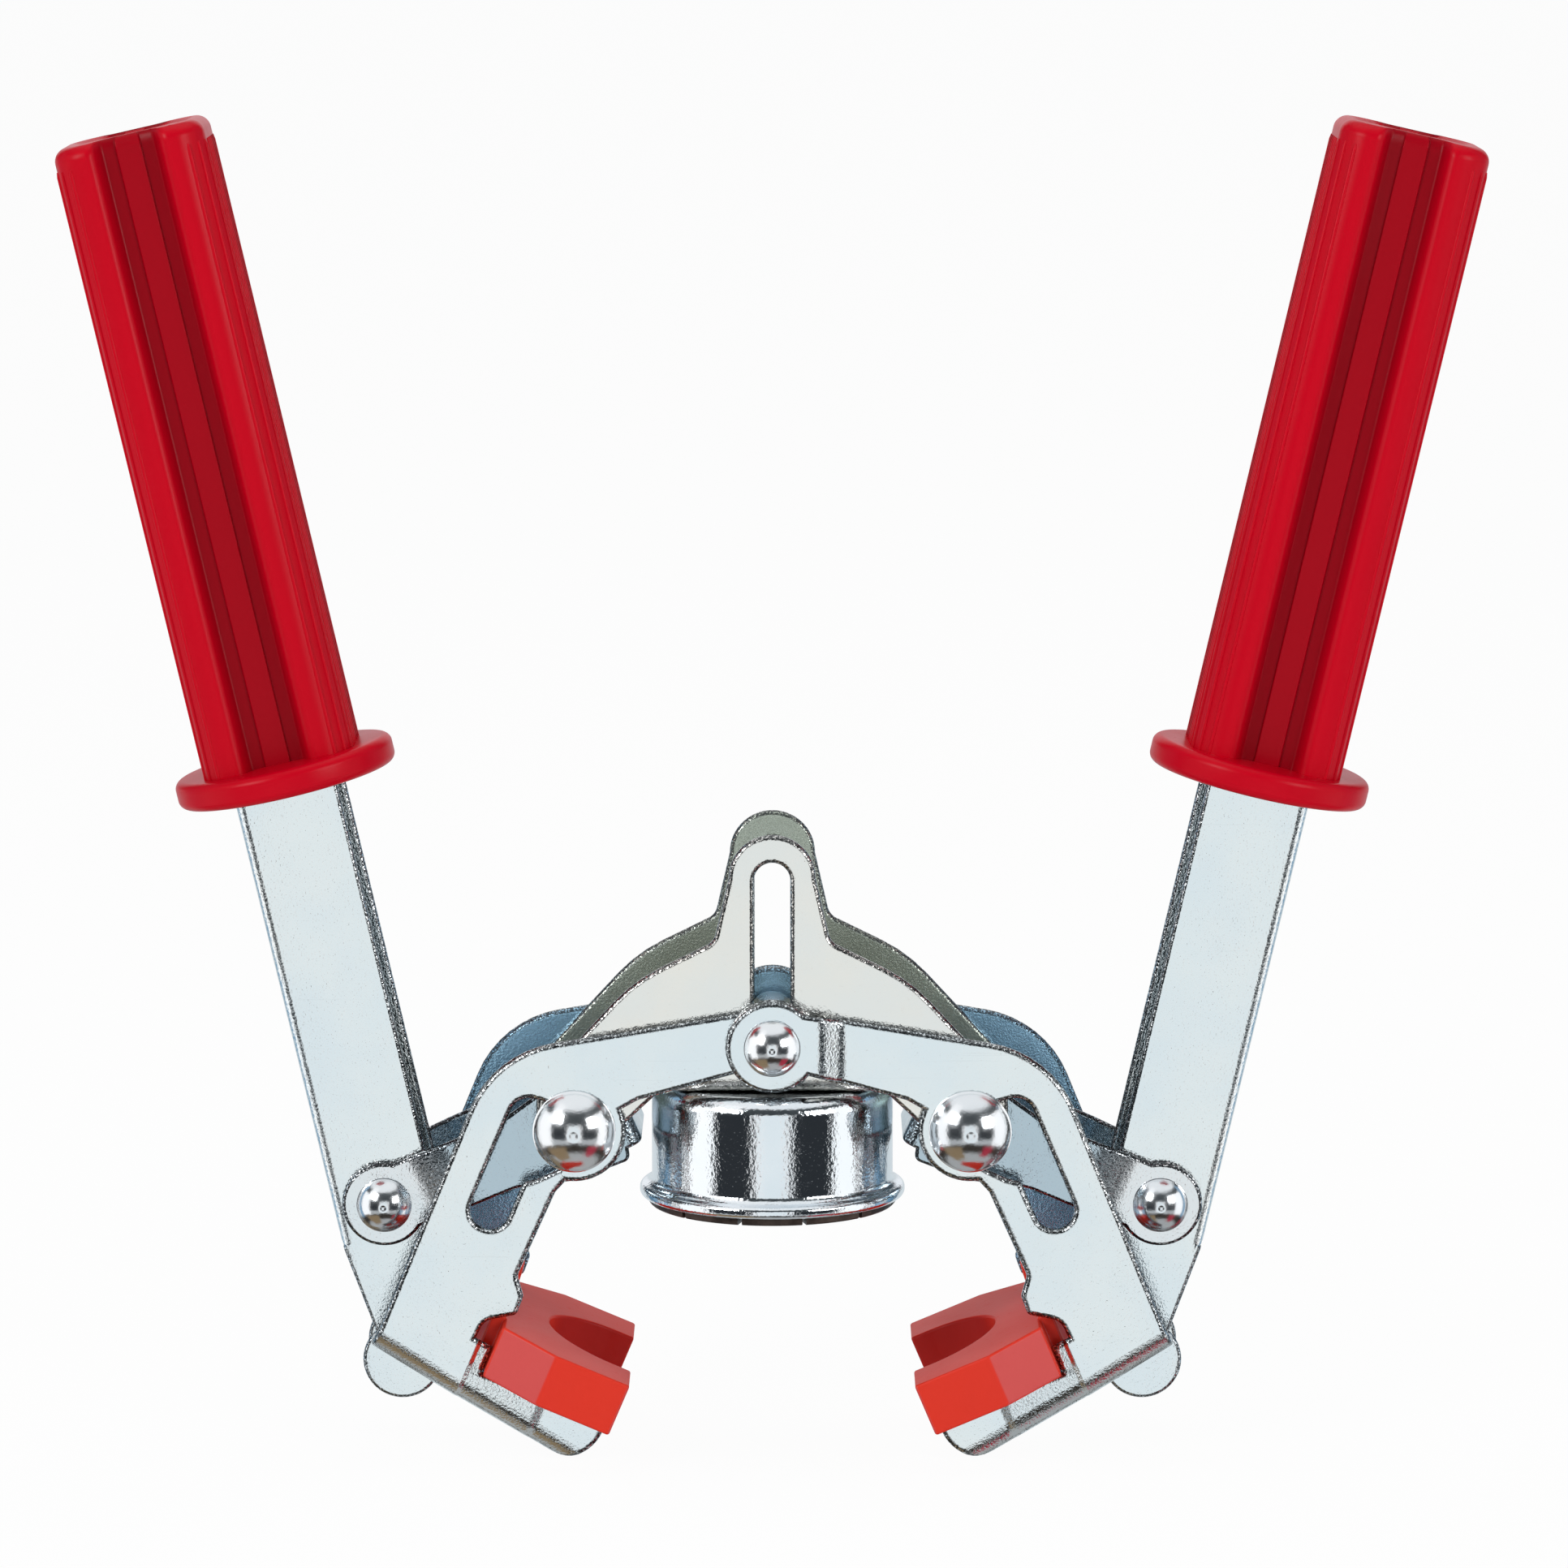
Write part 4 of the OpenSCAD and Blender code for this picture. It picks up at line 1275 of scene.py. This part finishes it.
@dataclass
class GuideYoke:
    """The guide yoke: two slotted plates folded up from a web on the bell."""

    thickness: float = 2.0
    edge: float = 0.9
    half_depth: float = 15.1
    fold: float = 2.0
    bell_top: float = -9.6
    tower_h: float = 39.7
    tower_r: float = 8.2
    slot_r: float = 3.4
    bridge: float = 5.3
    rivet: Point = HEAD_RIVET
    ear_r: float = 7.5
    rivet_hole: float = 3.02
    web_half: float = 20.0

    def build(self) -> None:
        """Builds both plates with their halves of the web."""
        line = self.bell_top + self.fold + self.thickness / 2
        web = self.fold * math.pi / 2 + self.half_depth - self.fold
        rx, rz = self.rivet
        right = [
            (self.web_half, line - web, 0.0), (self.web_half, line, 0.0), (self.web_half + 1.2, line - 0.5, 0.5),
            (self.web_half + 1.6, self.bell_top, 1.0), (rx - self.ear_r, rz - 1.0, 0.0),
            (rx + self.ear_r - 0.3, rz, 0.0), (rx + self.ear_r - 0.3, rz + 8.3, 9.0),
            (26.0, 12.0, 30.0), (11.0, 19.4, 3.0), (self.tower_r, self.tower_h - self.tower_r, 0.0),
        ]
        loop = rounded(right + [(-x, z, r) for x, z, r in right[::-1]])
        loop = with_lug(loop, (0.0, self.tower_h - self.tower_r), self.tower_r)
        for sign in (1, -1):
            loop = with_lug(loop, (sign * rx, rz), self.ear_r)
        top = self.tower_h - self.bridge - self.slot_r
        slot = arc_points((0.0, top), self.slot_r, 0, 180, 20)
        slot += arc_points((0.0, 0.0), self.slot_r, 180, 360, 20)
        holes = [slot] + [circle((sign * rx, rz), self.rivet_hole) for sign in (1, -1)]
        bm = plate(loop, holes, self.thickness, self.edge, self.half_depth)
        at = -BACK * self.half_depth - DOWN * line
        folded(bm, at, DOWN, BACK, self.fold, lambda p: abs(p.x) < self.web_half + 0.3)
        back = bm.copy()
        bmesh.ops.rotate(back, matrix=Matrix.Rotation(math.pi, 3, "Z"), verts=back.verts)
        spare = mesh_of("guide_back", back)
        bm.from_mesh(spare)
        bpy.data.meshes.remove(spare)
        piece("guide_plates", bm, from_pin((0.0, 0.0)), GUIDE_ZINC, "head", "guide_yoke", flats=True)


@dataclass
class CrimpingHead:
    """The bell with its rolled rim, and the slotted collet inside it."""

    body_r: float = 23.0
    rim_r: float = 25.3
    rim_z: float = -0.55
    rim_h: float = 2.8
    height: float = 22.4
    wall: float = 2.0
    shoulder: float = 3.5
    collet_z: float = -2.0
    bore_r: float = 14.4
    flare: float = 2.0
    mouth: float = 2.0
    fingers_h: float = 9.5
    band: float = 3.5
    lip_h: float = 1.3
    lip_r: float = 23.6
    slots: int = 12
    slot_w: float = 0.8
    hole_r: float = 3.05
    roll: float = 1.0
    bead_drop: float = 0.4
    foot_r: float = 1.7
    dish_r: float = 2.0
    fit: float = 0.15
    chamfer: float = 0.4

    @property
    def collet_r(self) -> float:
        """Radius of the collet, which fits inside the bell's wall."""
        return self.body_r - self.wall - self.fit

    def build(self, repeater: Repeater) -> None:
        """Builds the bell and the collet."""
        self.build_bell()
        self.build_collet(repeater)

    def build_bell(self) -> None:
        """Turns the bell with a soft shoulder, a flared foot and a rolled rim."""
        top, bead = self.rim_z + self.height, self.rim_z + self.rim_h - self.bead_drop
        s, roll, foot, dish, c = self.shoulder, self.roll, self.foot_r, self.dish_r, self.chamfer
        inner, roof = self.body_r - self.wall, top - self.wall
        profile = [(self.hole_r, top), (self.body_r - s - 4.0, top), (self.body_r - s - 0.4, top)]
        profile += arc_points((self.body_r - s, top - s), s, 84, 0, 14)
        profile += [(self.body_r, top - s - 4.0), (self.body_r, bead + 2 * foot)]
        profile += arc_points((self.body_r + foot, bead + foot), foot, 180, 250, 10)
        profile += arc_points((self.rim_r - roll, bead - roll), roll, 75, 0, 8)
        profile += arc_points((self.rim_r - roll, self.rim_z + roll), roll, 0, -90, 8)
        profile += [(inner + c, self.rim_z), (inner, self.rim_z + c), (inner, roof - dish)]
        profile += arc_points((inner - dish, roof - dish), dish, 0, 90, 8)
        profile += [(self.hole_r, roof), (self.hole_r, top)]
        piece("bell", lathed(profile, 144), Matrix(), POLISHED, "head", "bell_shell")

    def finger(self) -> bpy.types.Mesh:
        """One finger of the collet, between two slots.

        Returns:
            Its mesh, in metres, on the X axis.
        """
        body, z, half = self.collet_r, self.collet_z, math.pi / self.slots
        rows = [
            (self.bore_r + self.flare, z), (self.lip_r - 0.3, z), (self.lip_r, z + 0.3),
            (self.lip_r, z + self.lip_h), (body, z + self.lip_h), (body, z + self.fingers_h),
            (self.bore_r, z + self.fingers_h), (self.bore_r, z + self.mouth),
        ]
        bm = bmesh.new()
        rings = []
        for k in range(2 * FINGER_STEPS + 1):
            ring = []
            for r, h in rows:
                reach = half - math.asin(self.slot_w / 2 / r)
                a = reach * (k / FINGER_STEPS - 1)
                ring.append(bm.verts.new((r * math.cos(a) * MM, r * math.sin(a) * MM, h * MM)))
            rings.append(ring)
        skinned(bm, rings)
        return mesh_of("finger", bm)

    def build_collet(self, repeater: Repeater) -> None:
        """Sets the fingers round the bore, under their closed band.

        Args:
            repeater: Sets out what repeats.
        """
        turn = 2 * math.pi / self.slots
        places = [(Vector(), (0.0, 0.0, turn * k)) for k in range(self.slots)]
        repeater.copies("collet_fingers", self.finger(), places, DARK_STEEL, "head")
        low = self.collet_z + self.fingers_h
        high, bore, body, c = low + self.band, self.bore_r, self.collet_r, self.chamfer
        band = [(bore, low), (body, low), (body, high - c), (body - c, high)]
        band += [(bore + c, high), (bore, high - c), (bore, low)]
        piece("collet_band", lathed(band), Matrix(), DARK_STEEL, "head", "crimp_collet")


@dataclass
class Rivet:
    """A rivet along Y with a domed head at each end, its crown touched flat by the tool."""

    name: str
    body: str
    at: Point
    shank_r: float
    half: float
    dome_r: float
    dome_h: float
    flat_share: float = 0.13
    play: float = 0.02

    def head(self) -> bpy.types.Mesh:
        """One domed head with its dimpled crown.

        Returns:
            Its mesh, in metres, standing on its own origin.
        """
        ball = (self.dome_r**2 + self.dome_h**2) / (2 * self.dome_h)
        flat = self.dome_r * self.flat_share
        profile: Loop = [(0.0, 0.0), (self.dome_r - 0.25, 0.0), (self.dome_r, 0.22)]
        low, high = math.asin(self.dome_r / ball), math.asin(flat / ball)
        for k in range(1, DOME_STEPS + 1):
            a = low + (high - low) * k / DOME_STEPS
            profile.append((ball * math.sin(a), ball * math.cos(a) + self.dome_h - ball))
        crown = profile[-1][1]
        profile += [(flat * 0.8, crown - 0.02), (flat * 0.5, crown - 0.10), (0.0, crown - 0.14)]
        return finished_mesh(self.name + "_head", lathed(profile, 72), Matrix())

    def build(self, repeater: Repeater) -> None:
        """Builds the shank with its two heads.

        Args:
            repeater: Sets out what repeats.
        """
        x, z = self.at[0] * MM, (PIN_Z + self.at[1]) * MM
        places = [(Vector((x, end * self.half * MM, z)), (-end * math.pi / 2, 0.0, 0.0)) for end in (-1, 1)]
        repeater.copies(self.name + "_heads", self.head(), places, DOMED, self.body)
        reach = self.half - self.play
        shank = lathed([(0.0, -reach), (self.shank_r, -reach), (self.shank_r, reach), (0.0, reach)], 48)
        place = from_pin(self.at) @ Matrix.Rotation(math.pi / 2, 4, "X")
        piece(self.name + "_shank", shank, place, TURNED, self.body, self.name)


@dataclass
class Grip:
    """One moulded grip: lobed bar with front and back channels, fine side ribs and a hand flange."""

    tilt: float = LEVER_TILT
    rivet: Point = LINK_RIVET
    start: float = 81.0
    length: float = 126.5
    width: float = 28.5
    depth: float = 27.0
    lobe: float = 6.4
    channel_top: float = 13.2
    channel_mid: float = 10.0
    channel_foot: float = 4.6
    channel_depth: float = 3.8
    strip_h: float = 0.45
    end_r: float = 2.6
    flange_edge: float = 1.7
    flange_r: float = 21.0
    flange_t: float = 5.4
    flange_bore: float = 9.0
    edge_pull: float = 0.45
    edge_shrink: float = 0.55
    ribs: int = 6
    rib_pitch: float = 2.4
    rib_r: float = 0.42
    rib_turns: tuple[float, ...] = (32.0, 54.0, 76.0)
    rib_sink: float = 0.08

    def section(self) -> Loop:
        """Cross-section of the bar.

        Returns:
            Its points, across and in depth.
        """
        w, d = self.width / 2, self.depth / 2
        top, mid, foot = self.channel_top / 2, self.channel_mid / 2, self.channel_foot / 2
        floor = d - self.channel_depth
        corners: list[Corner] = [
            (w, d, self.lobe), (top, d, 2.0), (mid, floor + 0.5, 0.9),
            (foot + 0.15, floor, 0.15), (foot, floor + self.strip_h, 0.2),
        ]
        corners += [(-x, y, r) for x, y, r in corners[::-1]]
        corners += [(x, -y, r) for x, y, r in corners[::-1]]
        return rounded(corners, 7.0)

    def shade(self, p: Vector) -> float:
        """How far the channel's depth takes the light from a point of the section.

        Args:
            p: The point.

        Returns:
            0 on the lobes, up to 1 in the channel.
        """
        deep = (self.depth / 2 - abs(p.y)) / self.channel_depth
        if abs(p.x) > self.channel_top / 2 + 1.5:
            return 0.0
        return min(1.0, deep) * (0.8 if abs(p.x) < self.channel_foot / 2 + 0.05 else 1.0)

    def bar(self) -> bmesh.types.BMesh:
        """The bar with its rounded end, with painted shade in its channels as a number on its points.

        Returns:
            Its working mesh, along Z from the flange.
        """
        loop = [Vector(p) for p in self.section()]
        count = len(loop)
        normals = []
        for i in range(count):
            along = loop[(i + 1) % count] - loop[i - 1]
            normals.append(Vector((along.y, -along.x)).normalized())
        area = sum(a.x * b.y - b.x * a.y for a, b in zip(loop, loop[1:] + loop[:1]))
        inward = -1.0 if area > 0 else 1.0
        bm = bmesh.new()
        recess_shade = bm.verts.layers.float.new("recess_shade")
        rows = [(self.flange_t - 1.0, 0.0)]
        rows += [(self.flange_t + self.length * k / 12 * 0.9, 0.0) for k in range(13)]
        for k in range(END_STEPS + 1):
            a = math.pi / 2 * k / END_STEPS
            rows.append((self.length - self.end_r * (1 - math.sin(a)), self.end_r * (1 - math.cos(a))))
        rows.append((self.length - 0.5, self.end_r + 1.6))
        rings = []
        for z, pull in rows:
            ring = []
            for p, n in zip(loop, normals):
                q = p + n * (inward * pull * self.edge_pull * (1 - self.shade(p)))
                scale = 1 - (pull * self.edge_shrink) / (self.width / 2)
                vert = bm.verts.new((q.x * scale, q.y * scale, z))
                # Painted shade in the channels, but not on the rounded end.
                vert[recess_shade] = self.shade(p) if pull < self.end_r else 0.0
                ring.append(vert)
            rings.append(ring)
        skinned(bm, rings)
        return bm

    def flange(self) -> bmesh.types.BMesh:
        """The hand flange with its round rim.

        Returns:
            Its working mesh, from its lower face up.
        """
        r, t, rim, bore = self.flange_r, self.flange_t, self.flange_edge, self.flange_bore
        profile: Loop = [(bore, 0.0), (r - rim - 2.0, 0.0)]
        profile += arc_points((r - rim, rim), rim, -90, 0, 10)
        profile += arc_points((r - rim, t - rim), rim, 0, 90, 10)
        profile += [(r - rim - 2.5, t), (bore, t), (bore, 0.0)]
        return lathed(profile, 96)

    def build(self, side: Side, repeater: Repeater) -> None:
        """Builds the grip on one side.

        Args:
            side: The grip's side.
            repeater: Sets out what repeats.
        """
        start = added(self.rivet, turned((0.0, self.start), -self.tilt))
        place = side.turn() @ from_pin(start, self.tilt)
        lever, grip = side.named("lever"), side.named("grip")
        piece(grip + "_bar", self.bar(), place, GRIP_RED, lever, grip, flats=True)
        piece(grip + "_flange", self.flange(), place, GRIP_RED, lever)
        self.build_ribs(side, place, repeater)

    def build_ribs(self, side: Side, place: Matrix, repeater: Repeater) -> None:
        """Sets the fine ribs along both sides of the bar.

        Args:
            side: The grip's side.
            place: The grip's place in the tool's frame, in millimetres.
            repeater: Sets out what repeats.
        """
        r, sink = self.rib_r, self.rib_sink
        low, high = self.flange_t - 0.5, self.length - self.end_r - 1.5
        profile = [(0.0, low), (r, low), (r, high - 1.0), (r * 0.6, high), (0.0, high)]
        rib = finished_mesh("rib", lathed(profile, 12), Matrix())
        angles = tuple(place.to_euler())
        middle = (self.ribs - 1) / 2
        spots = [(self.width / 2 - sink, (k - middle) * self.rib_pitch) for k in range(self.ribs)]
        for turn in self.rib_turns:
            x, y = turned((0.0, self.lobe - sink), -turn)
            x, y = x + self.width / 2 - self.lobe, y + self.depth / 2 - self.lobe
            spots += [(x, y), (x, -y)]
        places = [(place @ Vector((sign * x, y, 0.0)) * MM, angles) for sign in (-1, 1) for x, y in spots]
        repeater.copies(side.named("grip_ribs"), rib, places, GRIP_RED, side.named("lever"))


@dataclass(frozen=True)
class Panel:
    """A soft-edged panel for the metal to mirror, between bearings from the front and heights, in degrees."""

    low: float
    high: float
    bottom: float
    top: float
    soft: float
    colour: Colour
    side: Optional[Side] = None


FLAG = (0.028, 0.032, 0.037)
BANDS = [
    (-10.0, 50.0, (0.07, 0.08, 0.085)),
    (-18.0, -36.0, (0.035, 0.028, 0.022)),
    (-48.0, -60.0, (0.42, 0.43, 0.43)),
    (42.0, 56.0, (0.95, 0.97, 0.98)),
]
PANELS = [
    Panel(12.0, 62.0, -33.0, -20.0, 2.0, (0.50, 0.52, 0.53)),
    Panel(98.0, 124.0, -35.0, 45.0, 5.0, (0.26, 0.42, 0.58)),
    Panel(126.0, 190.0, -45.0, 3.0, 3.0, (0.70, 0.76, 0.79)),
    Panel(150.0, 190.0, 3.0, 36.0, 3.0, (0.95, 0.97, 1.0)),
    Panel(60.0, 97.0, -34.0, 32.0, 3.0, (1.2, 1.2, 1.2), Side.RIGHT),
    Panel(58.0, 97.0, -34.0, 32.0, 3.0, (1.2, 1.2, 1.2), Side.LEFT),
    Panel(36.0, 72.0, 28.0, 62.0, 5.0, (1.1, 1.1, 1.1), Side.LEFT),
    Panel(24.0, 84.0, -72.0, -38.0, 5.0, (0.27, 0.195, 0.115), Side.LEFT),
    Panel(40.0, 70.0, -62.0, -36.0, 4.0, (0.40, 0.03, 0.055), Side.RIGHT),
    Panel(-30.0, 18.0, -27.0, 14.0, 4.0, (1.0, 1.0, 1.0)),
    Panel(-30.0, 12.0, -27.0, 14.0, 2.0, (0.89, 0.95, 0.97)),
]


@dataclass
class Studio:
    """White studio: floor, soft lamps, a world that metal can mirror, and the camera."""

    distance: float = 1.3
    elevation: float = 8.7
    aim: tuple[float, float, float] = (0.00223, 0.0, 0.0785)
    lens: float = 157.45
    lamp_aim: tuple[float, float, float] = (0.0, 0.0, 0.08)
    floor_half: float = 40.0
    floor_gap: float = 0.0004
    floor_glow: float = 0.96

    def build(self) -> None:
        """Sets up the whole studio."""
        bpy.context.scene.view_settings.view_transform = "Standard"
        self.camera()
        self.floor()
        self.lamps()
        self.world()

    def camera(self) -> None:
        """Camera at the photograph's viewing angle."""
        data = bpy.data.cameras.new("camera")
        data.lens, data.sensor_width = self.lens, 36.0
        data.clip_start, data.clip_end = 0.01, 50.0
        cam = shown("camera", data)
        e = math.radians(self.elevation)
        back = Vector((0, -math.cos(e), math.sin(e)))
        aimed(cam, Vector(self.aim) + back * self.distance, -back)
        bpy.context.scene.camera = cam

    def floor(self) -> None:
        """Pale floor under the feet, white to the camera but for the tool's shadow."""
        r, z = self.floor_half, CAD_BOX[0].z - self.floor_gap
        mesh = bpy.data.meshes.new("floor")
        mesh.from_pydata([(-r, -r, z), (r, -r, z), (r, r, z), (-r, r, z)], [], [(0, 1, 2, 3)])
        obj = shown("floor", mesh)
        obj.visible_glossy = False
        paint = bpy.data.materials.new("floor_white")
        paint.use_nodes = True
        bench = Bench(paint.node_tree)
        matte = bench.node("ShaderNodeBsdfDiffuse", {}, {"Color": (0.9, 0.9, 0.9, 1.0)})
        glow = bench.node("ShaderNodeEmission", {}, {"Color": (1.0, 1.0, 1.0, 1.0), "Strength": 1.0})
        seen = bench.node("ShaderNodeLightPath", {}, {}, "Is Camera Ray")
        mixed = bench.node("ShaderNodeMixShader", {}, {0: seen * self.floor_glow, 1: matte, 2: glow})
        bench.node("ShaderNodeOutputMaterial", {}, {"Surface": mixed})
        obj.data.materials.append(paint)

    def lamps(self) -> None:
        """Large soft lamps to the upper left, the right and above."""
        rows = [
            ("key", (-1.0, -1.0, 0.75), 0.6, 10.0),
            ("fill", (1.05, -1.0, 0.5), 0.6, 7.5),
            ("top", (0.0, 0.2, 1.4), 1.0, 5.5),
        ]
        for name, place, size, power in rows:
            data = bpy.data.lights.new(name, "AREA")
            data.shape, data.size, data.energy = "SQUARE", size, power
            lamp = shown(name, data)
            aimed(lamp, Vector(place), Vector(self.lamp_aim) - Vector(place))
            lamp.visible_glossy = name != "top"

    def mirrored(self, bench: Bench) -> Value:
        """What the metal mirrors: dark flags with lighter bands and panels.

        Args:
            bench: The world's tree.

        Returns:
            The colour in each direction.
        """
        way = bench.node("ShaderNodeTexCoord", {}, {}, "Generated")
        x, y, z = (bench.part(way, axis) for axis in range(3))
        bearing = bench.reckon("ARCTAN2", abs(x), 0 - y) * (180 / math.pi)
        height = bench.reckon("ARCSINE", z) * (180 / math.pi)
        left = bench.ramp(x, 0.02, -0.02)
        shares = {Side.LEFT: left, Side.RIGHT: 1 - left}

        def between(value: Value, low: float, high: float, soft: float) -> Value:
            """1 between two soft limits."""
            return bench.ramp(value, low - soft, low + soft) - bench.ramp(value, high - soft, high + soft)

        mirror: Any = FLAG
        for low, high, colour in BANDS:
            mirror = bench.blend(bench.ramp(height, low, high), mirror, colour)
        for p in PANELS:
            share = between(bearing, p.low, p.high, p.soft) * between(height, p.bottom, p.top, p.soft)
            mirror = bench.blend(share * shares[p.side] if p.side else share, mirror, p.colour)
        return mirror

    def world(self) -> None:
        """White surroundings, with other ones for the metal to mirror."""
        world = bpy.data.worlds.new("studio")
        bpy.context.scene.world = world
        world.use_nodes = True
        bench = Bench(world.node_tree)
        kinds = ("Is Camera Ray", "Is Glossy Ray", "Is Transmission Ray")
        camera, glossy, through = (bench.node("ShaderNodeLightPath", {}, {}, kind) for kind in kinds)

        def background(colour: Any, strength: float) -> Value:
            """Light of one colour."""
            return bench.node("ShaderNodeBackground", {}, {"Color": colour, "Strength": strength})

        soft, white = background((0.96, 0.98, 1.0, 1.0), 0.28), background((1.0, 1.0, 1.0, 1.0), 1.0)
        mirror = background(self.mirrored(bench), 1.0)
        shader = bench.node("ShaderNodeMixShader", {}, {0: glossy, 1: soft, 2: mirror})
        shader = bench.node("ShaderNodeMixShader", {}, {0: camera + through, 1: shader, 2: white})
        bench.node("ShaderNodeOutputWorld", {}, {"Surface": shader})


def dress_hidden() -> None:
    """Gives the CAD nodes that stay their finishes."""
    kept = {
        "cap_magnet": FERRITE, "bell_rivet": POLISHED, "pin_spacer": TURNED,
        "left_head_spacer": TURNED, "right_head_spacer": TURNED,
    }
    for node, finish in kept.items():
        coated(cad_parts[node], finish)


def main() -> None:
    """Builds the studio and every sub-assembly in order."""
    logging.basicConfig(level=logging.INFO, format="%(name)s %(message)s")
    Studio().build()
    repeater = Repeater()
    CrimpingHead().build(repeater)
    GuideYoke().build()
    rivets = [Rivet("centre_pin", "slider", (0.0, 0.0), shank_r=3.3, half=21.0, dome_r=5.3, dome_h=3.2)]
    for side in Side:
        Jaw().build(side)
        Link().build(side)
        Lever().build(side)
        Grip().build(side, repeater)
        link = side.named("link")
        head_at, link_at = ((side.sign * x, z) for x, z in (HEAD_RIVET, LINK_RIVET))
        rivets += [
            Rivet(side.named("head_rivet"), "head", head_at, shank_r=3.0, half=18.7, dome_r=7.8, dome_h=4.6),
            Rivet(link + "_rivet", link, link_at, shank_r=2.6, half=11.7, dome_r=5.2, dome_h=3.4),
        ]
    for rivet in rivets:
        rivet.build(repeater)
    dress_hidden()


if __name__ == "__main__":
    main()
